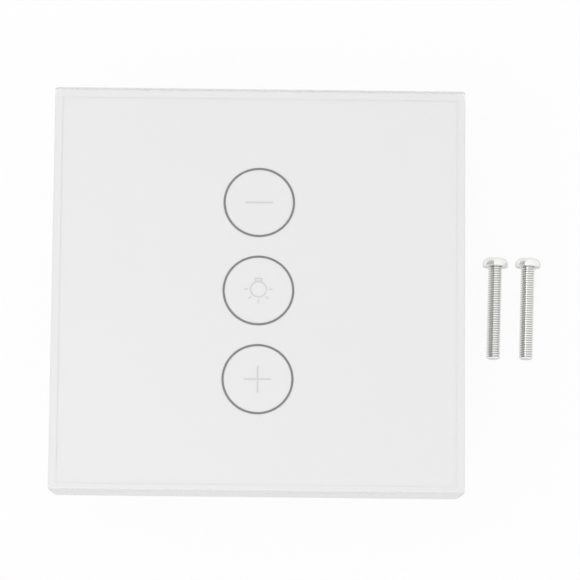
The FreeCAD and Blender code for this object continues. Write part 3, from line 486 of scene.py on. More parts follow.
def board_tracks_group():
    """Copper under a circuit board's lacquer: patches with gaps between them, and runs of thin tracks."""
    group, given, made = new_group(
        "board_tracks",
        {"Lacquer": "Color", "Over Copper": "Color", "Patch": "Float"},
        {"Base Color": "Color", "Normal": "Vector"})
    place = own_place(group)["Object"]
    patches = add_node(group, "ShaderNodeTexBrick",
                       {"Vector": place, "Color1": (0, 0, 0, 1), "Color2": (1, 1, 1, 1),
                        "Scale": given["Patch"], "Mortar Size": 0.012, "Brick Width": 1.1, "Row Height": 0.7},
                       offset=0.35, offset_frequency=2, squash=0.6, squash_frequency=3).outputs
    tracks = add_node(group, "ShaderNodeTexBrick",
                      {"Vector": place, "Scale": given["Patch"], "Mortar Size": 0.018, "Brick Width": 1.6,
                       "Row Height": 0.1}, offset=0.27, offset_frequency=3).outputs
    poured_above = 0.45
    poured = maths(group, "GREATER_THAN", patches["Color"], poured_above)
    inside_patch = maths(group, "SUBTRACT", 1.0, patches["Fac"])
    copper = add_node(group, "ShaderNodeMix", {0: poured, 2: tracks["Fac"], 3: inside_patch}).outputs[0]
    relief = add_node(group, "ShaderNodeBump", {"Height": copper, "Distance": 0.02 * MM})
    group.links.new(colour_between(group, copper, given["Lacquer"], given["Over Copper"]), made["Base Color"])
    group.links.new(relief.outputs[0], made["Normal"])
    return group


# Finishes

def record_colour(slot):
    """The colour that the record gives the slot, as red, green, blue and full cover."""
    given = next(m["base_color"] for m in frame["record"]["materials"] if m["slot"] == slot)
    return (*given[:3], 1.0)


def grouped_material(slot, group_name, make_group, values):
    """A material for the slot whose shader is fed by a shared group, and that shader."""
    material = bpy.data.materials.new(slot + "_finish")
    material.use_nodes = True
    tree = material.node_tree
    shader = tree.nodes["Principled BSDF"]
    effect = add_node(tree, "ShaderNodeGroup", values,
                      node_tree=bpy.data.node_groups.get(group_name) or make_group())
    for output in effect.outputs:
        tree.links.new(output, shader.inputs[output.name])
    return material, shader


def bare_material(name):
    """A material without a shader, and its nodes."""
    material = bpy.data.materials.new(name)
    material.use_nodes = True
    tree = material.node_tree
    tree.nodes.remove(tree.nodes["Principled BSDF"])
    return material, tree


def moulded(slot, roughness, grain, depth, tone=0.05, coat=0.0):
    """A moulded, dipped or sleeved plastic."""
    material, shader = grouped_material(
        slot, "moulded_grain", moulded_grain_group,
        {"Colour": record_colour(slot), "Tone": tone, "Roughness": roughness, "Grain": grain, "Depth": depth})
    shader.inputs["Coat Weight"].default_value = coat
    return material


def metal(slot, roughness, stretch=(1, 1, 1), tone=0.25, colour=None):
    """A bare or plated metal, in its own colour or the record's."""
    material, shader = grouped_material(
        slot, "metal_streaks", metal_streaks_group,
        {"Colour": colour or record_colour(slot), "Tone": tone, "Roughness": roughness, "Stretch": stretch,
         "Depth": 0.002 * MM})
    shader.inputs["Metallic"].default_value = 1.0
    return material


def circuit_board(slot, over_copper):
    """A lacquered circuit board."""
    patches_to_the_metre = 110
    material, shader = grouped_material(
        slot, "board_tracks", board_tracks_group,
        {"Lacquer": record_colour(slot), "Over Copper": over_copper, "Patch": patches_to_the_metre})
    shader.inputs["Roughness"].default_value = 0.35
    return material


def bright_nickel(slot):
    """Bright nickel plate with painted shade in the roots of a thread and in a recess, and darker at a
    grazing angle.
    """
    look = bpy.context.scene.light_switch_look
    material = metal(slot, roughness=0.1, tone=0.05, colour=(*look.plate_colour, 1.0))
    tree = material.node_tree
    shader = tree.nodes["Principled BSDF"]
    plate = shader.inputs["Base Color"].links[0].from_socket
    # Painted shade: the plate colour turns to root_shade_colour where the root_shade attribute marks thread
    # roots and the recess
    root = add_node(tree, "ShaderNodeAttribute", attribute_name=ROOT_SHADE).outputs["Fac"]
    tree.links.new(colour_between(tree, root, plate, (*look.root_shade_colour, 1.0)), shader.inputs["Base Color"])
    shader.inputs["Specular Tint"].default_value = (*look.grazing_colour, 1.0)
    return material


def clear_glass(slot):
    """Clear glass with hazy sides. Lamplight passes straight through, and no ray bends at the glued face."""
    look = bpy.context.scene.light_switch_look
    material, tree = bare_material(slot + "_finish")
    tint = (*look.glass_tint, 1.0)
    through = add_node(tree, "ShaderNodeBsdfTransparent", {"Color": tint}).outputs[0]
    glass = add_node(tree, "ShaderNodeBsdfGlass", {"Color": tint, "Roughness": 0.0, "IOR": 1.5}).outputs[0]
    haze = add_node(tree, "ShaderNodeBsdfDiffuse", {"Color": (*look.ground_colour, 1.0)}).outputs[0]
    place = own_place(tree)
    level = maths(tree, "ABSOLUTE", height_of(tree, place["Normal"]))
    ground = ramp(tree, level, look.ground_share, 0.0, start=0.3, end=0.4)
    body = shader_between(tree, ground, glass, haze)
    path = add_node(tree, "ShaderNodeLightPath").outputs
    lamplight = maths(tree, "MAXIMUM", path["Is Shadow Ray"], path["Is Diffuse Ray"])
    glued_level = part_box("glass_panel")[0].z + bpy.context.scene.light_switch_sizes.glass_edge
    glued = maths(tree, "LESS_THAN", height_of(tree, place["Object"]), glued_level)
    both = shader_between(tree, maths(tree, "MAXIMUM", lamplight, glued), body, through)
    tree.links.new(both, tree.nodes["Material Output"].inputs["Surface"])
    return material


# How each slot's finish is made. Grain is in grains to the metre, and stretch scales the streaks by axis.
FINISHES = {
    "clear_glass": (clear_glass, {}),
    "white_print": (moulded, dict(roughness=0.3, grain=4000, depth=0.001 * MM, tone=0.01)),
    "grey_ink": (moulded, dict(roughness=0.5, grain=9000, depth=0.002 * MM, tone=0.1)),
    "pale_ink": (moulded, dict(roughness=0.5, grain=9000, depth=0.002 * MM, tone=0.05)),
    "white_foam": (moulded, dict(roughness=0.8, grain=2500, depth=0.05 * MM, tone=0.1)),
    "panel_plastic": (moulded, dict(roughness=0.28, grain=3000, depth=0.003 * MM, tone=0.02)),
    "housing_plastic": (moulded, dict(roughness=0.45, grain=2200, depth=0.012 * MM, tone=0.04)),
    "milky_plastic": (moulded, dict(roughness=0.3, grain=1500, depth=0.004 * MM, tone=0.03)),
    "white_board": (circuit_board, dict(over_copper=(0.84, 0.84, 0.81, 1))),
    "green_board": (circuit_board, dict(over_copper=(0.06, 0.27, 0.12, 1))),
    "black_plastic": (moulded, dict(roughness=0.45, grain=5000, depth=0.01 * MM, tone=0.3)),
    "lamp_resin": (moulded, dict(roughness=0.15, grain=2000, depth=0.004 * MM, tone=0.1, coat=0.5)),
    "spring_steel": (metal, dict(roughness=0.22, stretch=(1, 1, 0.2))),
    "plated_steel": (metal, dict(roughness=0.28)),
    "bright_nickel": (bright_nickel, {}),
    "shield_tin": (metal, dict(roughness=0.35, stretch=(0.1, 1, 1))),
    "brass": (metal, dict(roughness=0.3, stretch=(1, 0.15, 1))),
    "terminal_plastic": (moulded, dict(roughness=0.4, grain=3000, depth=0.01 * MM, tone=0.12)),
    "ferrite": (moulded, dict(roughness=0.6, grain=3500, depth=0.03 * MM, tone=0.4)),
    "yellow_tape": (moulded, dict(roughness=0.25, grain=900, depth=0.01 * MM, tone=0.15, coat=0.3)),
    "copper": (metal, dict(roughness=0.22, stretch=(1, 1, 0.1))),
    "capacitor_sleeve": (moulded, dict(roughness=0.25, grain=1200, depth=0.01 * MM, tone=0.2, coat=0.3)),
    "capacitor_case": (moulded, dict(roughness=0.3, grain=2500, depth=0.01 * MM, tone=0.1)),
    "fuse_case": (moulded, dict(roughness=0.3, grain=2500, depth=0.008 * MM, tone=0.2)),
    "varistor_coat": (moulded, dict(roughness=0.3, grain=1000, depth=0.02 * MM, tone=0.2, coat=0.4)),
    "sink_aluminium": (metal, dict(roughness=0.35, stretch=(1, 1, 0.1))),
}


def finish_of(slot):
    """The slot's material, made when it is first asked for."""
    if slot + "_finish" in bpy.data.materials:
        return bpy.data.materials[slot + "_finish"]
    maker, values = FINISHES[slot]
    return maker(slot, **values)


# Sizes and colours that a user would change

class LightSwitchSizes(bpy.types.PropertyGroup):
    """Small sizes that only the visible pieces have, and the sizes of the mounting screws."""
    glass_corner: FloatProperty(name="Glass corner", default=0.6 * MM, unit="LENGTH",
                                description="Radius of the panel's four upright corners")
    glass_edge: FloatProperty(name="Glass edge", default=0.12 * MM, unit="LENGTH",
                              description="Width of the polished edge round the face")
    glue_gap: FloatProperty(name="Glue gap", default=0.02 * MM, unit="LENGTH",
                            description="Clear glue between the glass and what lies under it")
    film_spread: FloatProperty(name="Film spread", default=0.045 * MM, unit="LENGTH",
                               description="How far the film is pressed out into its rim")
    frame_edge: FloatProperty(name="Frame edge", default=0.25 * MM, unit="LENGTH",
                              description="Radius of the front frame's moulded edges")
    housing_edge: FloatProperty(name="Housing edge", default=0.2 * MM, unit="LENGTH",
                                description="Radius of the moulded edges behind the front frame")
    spring_turns: IntProperty(name="Spring turns", default=3, description="Turns of each touch spring")
    spring_wire: FloatProperty(name="Spring wire", default=0.2 * MM, unit="LENGTH",
                               description="Radius of the touch springs' wire")
    choke_turns: IntProperty(name="Choke turns", default=13, description="Turns of wire on the choke")
    screw_length: FloatProperty(name="Screw length", default=20 * MM, unit="LENGTH",
                                description="From a mounting screw's tip to the underside of its head")
    screw_radius: FloatProperty(name="Screw radius", default=1.48 * MM, unit="LENGTH",
                                description="Radius over a mounting screw's thread")
    thread_pitch: FloatProperty(name="Thread pitch", default=0.5 * MM, unit="LENGTH",
                                description="Rise of the mounting screw's thread in one turn")
    thread_depth: FloatProperty(name="Thread depth", default=0.27 * MM, unit="LENGTH",
                                description="Depth of the mounting screw's thread")
    head_radius: FloatProperty(name="Head radius", default=2.7 * MM, unit="LENGTH",
                               description="Radius of a mounting screw's head")
    head_height: FloatProperty(name="Head height", default=1.8 * MM, unit="LENGTH",
                               description="Height of a mounting screw's head")


class LightSwitchLook(bpy.types.PropertyGroup):
    """Colours and light levels."""
    glass_tint: FloatVectorProperty(name="Glass tint", default=(0.9932, 0.9938, 0.9932), subtype="COLOR",
                                    description="What one pass through a face lets through")
    ground_colour: FloatVectorProperty(name="Ground glass", default=(0.72, 0.73, 0.72), subtype="COLOR",
                                       description="Colour of the haze on the glass's sides")
    ground_share: FloatProperty(name="Ground haze", default=0.45,
                                description="Share of that haze on the glass's sides")
    plate_colour: FloatVectorProperty(name="Screw plate", default=(0.97, 0.97, 0.96), subtype="COLOR",
                                      description="Colour of the mounting screws' plate")
    # Painted shade: the screws' plate colour is drawn towards this in the thread roots and the recess
    root_shade_colour: FloatVectorProperty(name="Thread roots", default=(0.76, 0.76, 0.75), subtype="COLOR",
                                     description="Colour of that plate deep in the thread")
    grazing_colour: FloatVectorProperty(name="Plate at an angle", default=(0.65, 0.65, 0.65), subtype="COLOR",
                                        description="Tint of that plate's grazing mirror")
    world_level: FloatProperty(name="World level", default=0.74,
                               description="Strength of the even light from all round")
    key_level: FloatProperty(name="Key level", default=0.28,
                             description="Share of light that the soft lamp adds on a flat face")
    mirror_low: FloatProperty(name="Mirrored walls", default=0.92,
                              description="Level of the room's walls in a mirror")
    mirror_left: FloatProperty(name="Mirrored left", default=0.8,
                               description="Share of that level on the room's left")
    floor_colour: FloatVectorProperty(name="Floor colour", default=(0.95, 0.95, 0.95), subtype="COLOR",
                                      description="Colour of the table")
    floor_glow: FloatProperty(name="Floor glow", default=0.92,
                              description="Share of plain white in what the camera sees of it")


# Panel

class BuildGlass(bpy.types.Operator):
    """Clear glass panel with rounded corners, polished edges and a white border printed on its back"""
    bl_idname = "light_switch.build_glass"
    bl_label = "Glass Panel"

    def execute(self, context):
        sizes = context.scene.light_switch_sizes
        low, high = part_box("glass_panel")
        low.z += sizes.glue_gap
        slab = bevelled_corners(block("glass_slab", low, high), sizes.glass_corner)
        for height in (low.z, high.z):
            bevelled_rim(slab, height, sizes.glass_edge, segments=2)
        hand_over(tidy_faces(slab), "clear_glass", "glass_panel", body=PANEL_BODY)
        self.print_border(sizes)
        return {"FINISHED"}

    def print_border(self, sizes):
        """White print on the back of the glass, from its edge to a little way over the film."""
        low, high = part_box("glass_panel")
        film_low, film_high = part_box("graphic_film")
        inset, lap, ink = 0.1 * MM, 0.4 * MM, sizes.glue_gap / 4
        bottom, top = low.z + ink, low.z + 2 * ink
        border = block("printed_border", (low.x + inset, low.y + inset, bottom),
                       (high.x - inset, high.y - inset, top))
        bevelled_corners(border, sizes.glass_corner)
        window = block("window_tool", (film_low.x + lap, film_low.y + lap, bottom - MM),
                       (film_high.x - lap, film_high.y - lap, top + MM))
        hand_over(cut_with(border, window), "white_print", "glass_panel", body=PANEL_BODY)


class BuildFilm(bpy.types.Operator):
    """White printed film that fills the front frame's rim"""
    bl_idname = "light_switch.build_film"
    bl_label = "Printed Film"

    def execute(self, context):
        low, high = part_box("graphic_film")
        grow = Vector((1, 1, 0)) * context.scene.light_switch_sizes.film_spread
        film = bevelled_corners(block("printed_film", low - grow, high + grow), 0.3 * MM)
        bevelled_rim(film, high.z, 0.02 * MM, segments=1)
        hand_over(tidy_faces(film), "white_print", "graphic_film", body=PANEL_BODY)
        return {"FINISHED"}


class BuildFrame(bpy.types.Operator):
    """White front frame with moulded edges, left square where the glass is glued on"""
    bl_idname = "light_switch.build_frame"
    bl_label = "Front Frame"

    def execute(self, context):
        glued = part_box("front_frame")[1].z - WELD
        moulding = rounded_copy("front_frame", "front_moulding", context.scene.light_switch_sizes.frame_edge,
                                wanted=lambda edge: max(corner.co.z for corner in edge.verts) < glued)
        hand_over(moulding, "panel_plastic", "front_frame", body=PANEL_BODY)
        return {"FINISHED"}


class BuildHousing(bpy.types.Operator):
    """Base plate and rear housing with moulded edges"""
    bl_idname = "light_switch.build_housing"
    bl_label = "Base and Housing"

    def execute(self, context):
        edge = context.scene.light_switch_sizes.housing_edge
        hand_over(rounded_copy("base_plate", "base_moulding", edge), "housing_plastic", "base_plate")
        hand_over(rounded_copy("rear_housing", "housing_moulding", edge), "housing_plastic", "rear_housing")
        return {"FINISHED"}


# Springs

class BuildSprings(bpy.types.Operator):
    """Touch springs of round wire, each with a foot that stands on the touch board"""
    bl_idname = "light_switch.build_springs"
    bl_label = "Touch Springs"

    def execute(self, context):
        for key in KEYS:
            self.build_spring(key, context.scene.light_switch_sizes)
        return {"FINISHED"}

    def build_spring(self, key, sizes):
        """Winds the wire, then bends its lower end down and runs it to the board."""
        node = f"touch_spring_{key}"
        low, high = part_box(node)
        middle = middle_of(node)
        wire, foot = sizes.spring_wire, 0.8 * MM
        bend = foot / 2
        reach = (high.x - low.x) / 2 - wire
        start = low.z + foot
        pitch = (high.z - wire - start) / sizes.spring_turns
        spring = added(bpy.ops.mesh.primitive_circle_add, f"wound_spring_{key}", vertices=12, radius=wire,
                       location=(reach, 0, start), rotation=(QUARTER_TURN, 0, 0))
        wound(settle(spring), pitch, sizes.spring_turns)
        with editing(spring):
            pick(spring, "FACE", lambda face: len(face.verts) > 4
                 and face.calc_center_median().z < start + wire)
            bpy.ops.mesh.spin(steps=6, angle=QUARTER_TURN, center=(reach, 0, start - bend), axis=(-1, 0, 0))
            extrude((0, 0, low.z - start + bend))
        hand_over(tidy_faces(placed(spring, middle.x, middle.y)), "spring_steel", node)


# Screws

def cross_recess(length, width, depth, top):
    """A cutter for a cross recess that narrows towards its floor."""
    narrowing = (0.35, 0.6, 1)
    wings = []
    for turn in (0, QUARTER_TURN):
        wing = block("recess_tool", (-length / 2, -width / 2, top - depth),
                     (length / 2, width / 2, top + depth))
        with editing(wing):
            pick(wing, "FACE", faces_down)
            bpy.ops.transform.resize(value=narrowing, center_override=(0, 0, top - depth))
        wings.append(placed(wing, 0, 0, turn=(0, 0, turn)))
    return cut_with(wings[0], wings[1], "UNION")


def slot_recess(width, depth, top):
    """A cutter for a straight slot across the head."""
    reach = 3 * MM
    return block("slot_tool", (-reach, -width / 2, top - depth), (reach, width / 2, top + MM))


def threaded_rod(name, radius, depth, pitch, length, chamfer):
    """A rod along Z with a helical thread and a chamfered tip."""
    root = radius - depth
    # Radius and share of the pitch at the ends of the flat root, of the crest and of the last flank
    ridge = [(root, 0), (root, 1 / 8), (radius, 7 / 16), (radius, 11 / 16), (root, 1)]
    rod = drawn_line(name, [(reach, 0, (rise - 1) * pitch) for reach, rise in ridge])
    wound(rod, pitch, math.ceil(length / pitch) + 2, steps=32)
    clear = radius + depth
    trim = turned("trim_tool", [(0, 0), (root, 0), (clear, chamfer + depth), (clear, length), (0, length)])
    return tidy_faces(cut_with(rod, trim, "INTERSECT"))


def pan_head(radius, height, rounding, base):
    """A round screw head whose flat underside is at base."""
    edge = 0.08 * MM
    profile = [(0, base), (radius - edge, base), (radius, base + edge)]
    profile += rounded_corner((radius - rounding, base + height - rounding), rounding)
    return turned("head_tool", profile + [(0, base + height)])


def headed_screw(name, length, thread, head, recess):
    """A screw along Z, its tip at the origin, with its thread run a little way into its head."""
    lap = 0.2 * MM
    rod = threaded_rod(name, length=length + lap, **thread)
    return tidy_faces(cut_with(rod, cut_with(pan_head(base=length, **head), recess), "UNION"))


def shade_roots(piece, root, crest, length, height):
    """Marks how deep each point lies in the thread or in the recess, where the finish paints shade."""
    marks = piece.data.attributes.new(ROOT_SHADE, "FLOAT", "POINT")
    for vertex, mark in zip(piece.data.vertices, marks.data):
        reach, level = vertex.co.xy.length, vertex.co.z
        # Painted shade: the recess is marked fully, and the thread flanks shade more towards their roots
        if length < level < height - WELD and reach < crest:
            mark.value = 1.0
        elif 0 < level < length:
            mark.value = min(1.0, max(0.0, (crest - reach) / (crest - root)))


def mounting_screw(name, sizes):
    """One mounting screw along Z, its tip at the origin."""
    radius, depth, length = sizes.screw_radius, sizes.thread_depth, sizes.screw_length
    top = length + sizes.head_height
    thread = {"radius": radius, "depth": depth, "pitch": sizes.thread_pitch, "chamfer": 0.2 * MM}
    head = {"radius": sizes.head_radius, "height": sizes.head_height, "rounding": 1.2 * MM}
    recess = cross_recess(length=3 * MM, width=0.8 * MM, depth=1.3 * MM, top=top)
    screw = headed_screw(name, length, thread, head, recess)
    shade_roots(screw, radius - depth, radius, length, top)
    return screw


class BuildMountingScrews(bpy.types.Operator):
    """Two loose bright screws with a helical thread and a cross recess, which lie on head and tip"""
    bl_idname = "light_switch.build_mounting_screws"
    bl_label = "Mounting Screws"

    def execute(self, context):
        sizes = context.scene.light_switch_sizes
        tip_contact = 0.25 * MM
        rise = math.atan2(sizes.head_radius - sizes.screw_radius, sizes.screw_length - tip_contact)
        lie = Euler((rise - QUARTER_TURN, 0, 0)).to_matrix()
        lean = Euler((0, 0, math.radians(-1.2))).to_matrix()
        for side in SIDES:
            node = f"mounting_screw_{side}"
            screw = mounting_screw(f"machine_screw_{side}", sizes)
            placed(screw, 0, 0, turn=(lean @ lie).to_euler())
            lowest = Vector([min(vertex.co[axis] for vertex in screw.data.vertices) for axis in range(3)])
            placed(screw, *(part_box(node)[0] - lowest))
            hand_over(screw, "bright_nickel", node, body=node)
        return {"FINISHED"}


class BuildAssemblyScrews(bpy.types.Operator):
    """Self-tapping screws that hold the housing to the base plate and the power board to the housing"""
    bl_idname = "light_switch.build_assembly_screws"
    bl_label = "Assembly Screws"

    def execute(self, context):
        self.build_set("housing_screws", "housing_screw_set", rows=2)
        self.build_set("power_board_screws", "board_screw_set", rows=1)
        return {"FINISHED"}

    def build_set(self, node, name, rows):
        """One small self-tapping screw, copied to the corners of the node's box."""
        low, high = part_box(node)
        head = {"radius": 1.9 * MM, "height": 1.1 * MM, "rounding": 0.7 * MM}
        thread = {"radius": 1.0 * MM, "depth": 0.24 * MM, "pitch": 0.8 * MM, "chamfer": 0.4 * MM}
        height = high.z - low.z
        length = height - head["height"]
        recess = cross_recess(length=2.3 * MM, width=0.45 * MM, depth=0.7 * MM, top=height)
        screw = headed_screw("screw_pattern", length, thread, head, recess)
        columns = (low.x + head["radius"], high.x - head["radius"])
        lines = (low.y + head["radius"], high.y - head["radius"])[:rows]
        places = [(x, y, low.z) for x in columns for y in lines]
        hand_over(copies_at(screw, places, name), "plated_steel", node)


class BuildClampScrews(bpy.types.Operator):
    """Slotted screws that raise the terminal cages"""
    bl_idname = "light_switch.build_clamp_screws"
    bl_label = "Clamp Screws"

    def execute(self, context):
        head = {"radius": 2.2 * MM, "height": 1.6 * MM, "rounding": 0.35 * MM}
        thread = {"radius": 1.45 * MM, "depth": 0.25 * MM, "pitch": 0.5 * MM, "chamfer": 0.3 * MM}
        length = 6 * MM
        for pole in POLES:
            node = f"terminal_screw_{pole}"
            middle = middle_of(node)
            recess = slot_recess(width=0.7 * MM, depth=0.8 * MM, top=length + head["height"])
            screw = headed_screw(f"clamp_screw_{pole}", length, thread, head, recess)
            placed(screw, middle.x, middle.y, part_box(node)[1].z, turn=(HALF_TURN, 0, 0))
            hand_over(screw, "plated_steel", node, body=node)
        return {"FINISHED"}


# Terminals

class BuildTerminals(bpy.types.Operator):
    """Terminal block with grooves between its poles, its cages and its contact strips"""
    bl_idname = "light_switch.build_terminals"
    bl_label = "Terminals"

    def execute(self, context):
        edge = context.scene.light_switch_sizes.housing_edge
        low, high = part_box("terminal_block")
        pole_pitch, groove = 7.5 * MM, 0.3 * MM
        shell = rounded_copy("terminal_block", "terminal_shell", edge)
        for x in spaced(len(POLES) - 1, pole_pitch):
            cut_with(shell, block("groove_tool", (x - groove, low.y - MM, low.z - MM),
                                  (x + groove, high.y + MM, low.z + groove)))
        hand_over(shell, "terminal_plastic", "terminal_block")
        strips = rounded_copy("terminal_contacts", "contact_strips", radius=0.12 * MM)
        hand_over(strips, "brass", "terminal_contacts")
        for pole in POLES:
            node = f"terminal_cage_{pole}"
            cage = rounded_copy(node, f"rising_cage_{pole}", radius=0.1 * MM)
            hand_over(cage, "plated_steel", node, body=node)
        return {"FINISHED"}


# Chips, legs and solder

def chip_package(node, name, front):
    """A chip's moulded package with a dimple beside its first leg, on the side that front points to."""
    low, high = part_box(node)
    to_dimple = 0.8 * MM
    place = (low.x + to_dimple, low.y + to_dimple, high.z if front > 0 else low.z)
    return drilled(rounded_copy(node, name, radius=0.12 * MM), place, radius=0.3 * MM, depth=0.2 * MM)


def leg_rows(name, path, width, thickness, count, pitch):
    """Two rows of bent legs, one each side of X = 0, that follow the path of x and z."""
    leg = bent_strip(name, [(x, 0, z) for x, z in path], (0, width, 0), thickness)
    row = copies_at(leg, [(0, y, 0) for y in spaced(count, pitch)], name)
    other = copy_of(row)
    other.scale.x = -1
    return tidy_faces(joined([row, settle(other)], name))


def gull_legs(name, half, count):
    """Legs that stand on the board beside a package, which reaches half to each side."""
    inside, knee, ankle, toe = half - 0.1 * MM, half + 0.3 * MM, half + 0.55 * MM, half + 1.0 * MM
    upper, lower = 0.55 * MM, 0.1 * MM
    path = [(inside, upper), (knee, upper), (ankle, lower), (toe, lower)]
    return leg_rows(name, path, width=0.42 * MM, thickness=0.18 * MM, count=count, pitch=1.27 * MM)


def solder_joint(reach=0.75 * MM, height=0.8 * MM):
    """A cone of solder round the end of a lead, standing on Z = 0."""
    sunk, rim, lead = -0.05 * MM, 0.04 * MM, 0.3 * MM
    profile = [(0, sunk), (reach, sunk), (reach, rim), (0.6 * reach, 0.3 * height), (lead, 0.65 * height),
               (0.9 * lead, height), (0, height)]
    return turned("joint_pattern", profile, steps=16)


# Touch board

class BuildTouchBoard(bpy.types.Operator):
    """Touch chip with its legs, lamps with their metal ends, and the solder under the springs"""
    bl_idname = "light_switch.build_touch_board"
    bl_label = "Touch Board"

    def execute(self, context):
        low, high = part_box("touch_chip")
        middle = middle_of("touch_chip")
        hand_over(chip_package("touch_chip", "touch_chip_package", front=1), "black_plastic", "touch_chip")
        legs = gull_legs("touch_chip_legs", (high.x - low.x) / 2, count=7)
        hand_over(placed(legs, middle.x, middle.y, low.z), "plated_steel")
        hand_over(rounded_copy("led_chips", "lamp_packages", radius=0.08 * MM), "lamp_resin", "led_chips")
        self.add_lamp_ends()
        self.solder_springs(context.scene.light_switch_sizes.spring_wire)
        return {"FINISHED"}

    def add_lamp_ends(self):
        """Metal caps on both ends of each lamp."""
        low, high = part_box("led_chips")
        length, width, cap, proud, below = 1.6 * MM, 0.8 * MM, 0.3 * MM, 0.02 * MM, 0.1 * MM
        half_cap, half_width = (cap + proud) / 2, width / 2 + proud
        end = block("cap_pattern", (-half_cap, -half_width, low.z), (half_cap, half_width, high.z - below))
        columns = (low.x + length / 2, high.x - length / 2)
        lines = (low.y + width / 2, (low.y + high.y) / 2, high.y - width / 2)
        to_cap = length / 2 + proud - half_cap
        places = [(x + side * to_cap, y, 0) for side in (-1, 1) for x in columns for y in lines]
        caps = copies_at(end, places, "lamp_ends")
        hand_over(bevelled_edges(caps, width=0.03 * MM, segments=1), "plated_steel")

    def solder_springs(self, wire):
        """A low joint round the foot of each touch spring."""
        feet = []
        for key in KEYS:
            low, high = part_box(f"touch_spring_{key}")
            feet.append((high.x - wire, (low.y + high.y) / 2, low.z))
        joint = solder_joint(reach=0.9 * MM, height=0.5 * MM)
        hand_over(copies_at(joint, feet, "spring_solder"), "shield_tin")


class BuildLightGuides(bpy.types.Operator):
    """Milky light guides with rounded edges"""
    bl_idname = "light_switch.build_light_guides"
    bl_label = "Light Guides"

    def execute(self, context):
        for key in KEYS:
            self.build_guide(key)
        return {"FINISHED"}

    def build_guide(self, key):
        """A ring that stands on two feet."""
        wall, rounding, foot_height, half_foot = 1.2 * MM, 0.2 * MM, 0.7 * MM, 1 * MM
        node = f"light_guide_{key}"
        low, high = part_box(node)
        middle, outer = middle_of(node), (high.x - low.x) / 2
        section = rounded_frame(outer - wall, outer, low.z + foot_height, high.z, rounding)
        ring = turned(f"guide_ring_{key}", section, steps=72, closed=True)
        for y in spaced(2, 2 * outer - wall):
            foot = block("foot_tool", (-half_foot, y - wall / 4, low.z),
                         (half_foot, y + wall / 4, high.z - rounding))
            cut_with(ring, foot, "UNION")
        hand_over(tidy_faces(placed(ring, middle.x, middle.y)), "milky_plastic", node)


# Radio board and its plug

class BuildRadioBoard(bpy.types.Operator):
    """Metal can with small holes, edge contacts and a printed aerial on the radio board"""
    bl_idname = "light_switch.build_radio_board"
    bl_label = "Radio Board"

    def execute(self, context):
        self.build_can()
        self.build_contacts()
        self.build_aerial()
        return {"FINISHED"}

    def build_can(self):
        """The can's roof is set in a little behind its folded rim, and has a row of holes."""
        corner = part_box("wifi_shield")[0]
        straight_down, holes, hole_pitch = -0.99, 5, 2.5 * MM
        can = rounded_copy("wifi_shield", "radio_can", radius=0.3 * MM, segments=3)
        with editing(can):
            pick(can, "FACE", lambda face: face.normal.z < straight_down)
            bpy.ops.mesh.inset(thickness=0.5 * MM)
            extrude((0, 0, 0.12 * MM))
        for number in range(1, holes + 1):
            place = (corner.x + number * hole_pitch, corner.y + hole_pitch, corner.z)
            drilled(can, place, radius=0.4 * MM, depth=MM)
        hand_over(can, "shield_tin", "wifi_shield")

    def build_contacts(self):
        """Eight wrapped contacts on each long edge."""
        low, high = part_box("wifi_board")
        proud, depth, half, pitch, count = 0.04 * MM, 0.8 * MM, 0.45 * MM, 2 * MM, 8
        half_depth = (depth + proud) / 2
        contact = block("contact_pattern", (-half, -half_depth, low.z - proud), (half, half_depth, high.z))
        start = low.x + 2.2 * MM
        edges = (low.y - proud + half_depth, high.y + proud - half_depth)
        places = [(start + number * pitch, y, 0) for number in range(count) for y in edges]
        contacts = copies_at(contact, places, "radio_contacts")
        hand_over(bevelled_edges(contacts, width=0.03 * MM, segments=1), "shield_tin")

    def build_aerial(self):
        """A zigzag track on the free end of the board."""
        low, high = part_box("wifi_board")
        near, far, first, pitch, runs = low.y + 5 * MM, high.y - 2 * MM, 5.6 * MM, 1.5 * MM, 4
        path = []
        for number in range(runs):
            x = first + number * pitch
            ends = [(x, near, low.z), (x, far, low.z)]
            path += ends if number % 2 else reversed(ends)
        track = bent_strip("radio_aerial", path, across=(0, 0, 0.06 * MM), thickness=0.6 * MM)
        hand_over(track, "copper")


class BuildPlug(bpy.types.Operator):
    """Pin strip, its plated pins and the tall socket between the boards"""
    bl_idname = "light_switch.build_plug"
    bl_label = "Board Plug"

    def execute(self, context):
        low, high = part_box("board_header")
        pins, pitch, half_pin = 7, 2.54 * MM, 0.32 * MM
        self.build_strip(low, high, [low.x + number * pitch for number in range(1, pins)], half_pin)
        self.build_pins(low, high, [low.x + (number + 0.5) * pitch for number in range(pins)], half_pin)
        socket = rounded_copy("header_socket", "tall_socket", radius=0.1 * MM)
        hand_over(socket, "black_plastic", "header_socket")
        return {"FINISHED"}

    def build_strip(self, low, high, notches, half):
        """The strip that holds the pins, notched between them."""
        bottom = high.z - 2.5 * MM
        strip = block("pin_strip", (low.x, low.y, bottom), high)
        for x in notches:
            for y in (low.y, high.y):
                notch = block("notch_tool", (-half, -half, bottom - MM), (half, half, high.z + MM))
                cut_with(strip, placed(notch, x, y, turn=(0, 0, QUARTER_TURN / 2)))
        hand_over(strip, "black_plastic", "board_header")

    def build_pins(self, low, high, columns, half):
        """Square pins with tapered tips."""
        tip, narrowing = 0.6 * MM, (0.45, 0.45, 1)
        pin = block("pin_pattern", (-half, -half, low.z + tip), (half, half, high.z - MM))
        with editing(pin):
            pick(pin, "FACE", faces_down)
            extrude((0, 0, -tip))
            bpy.ops.transform.resize(value=narrowing, center_override=(0, 0, low.z))
        places = [(x, (low.y + high.y) / 2, 0) for x in columns]
        hand_over(copies_at(pin, places, "plug_pins"), "plated_steel", "board_header")


# Power board

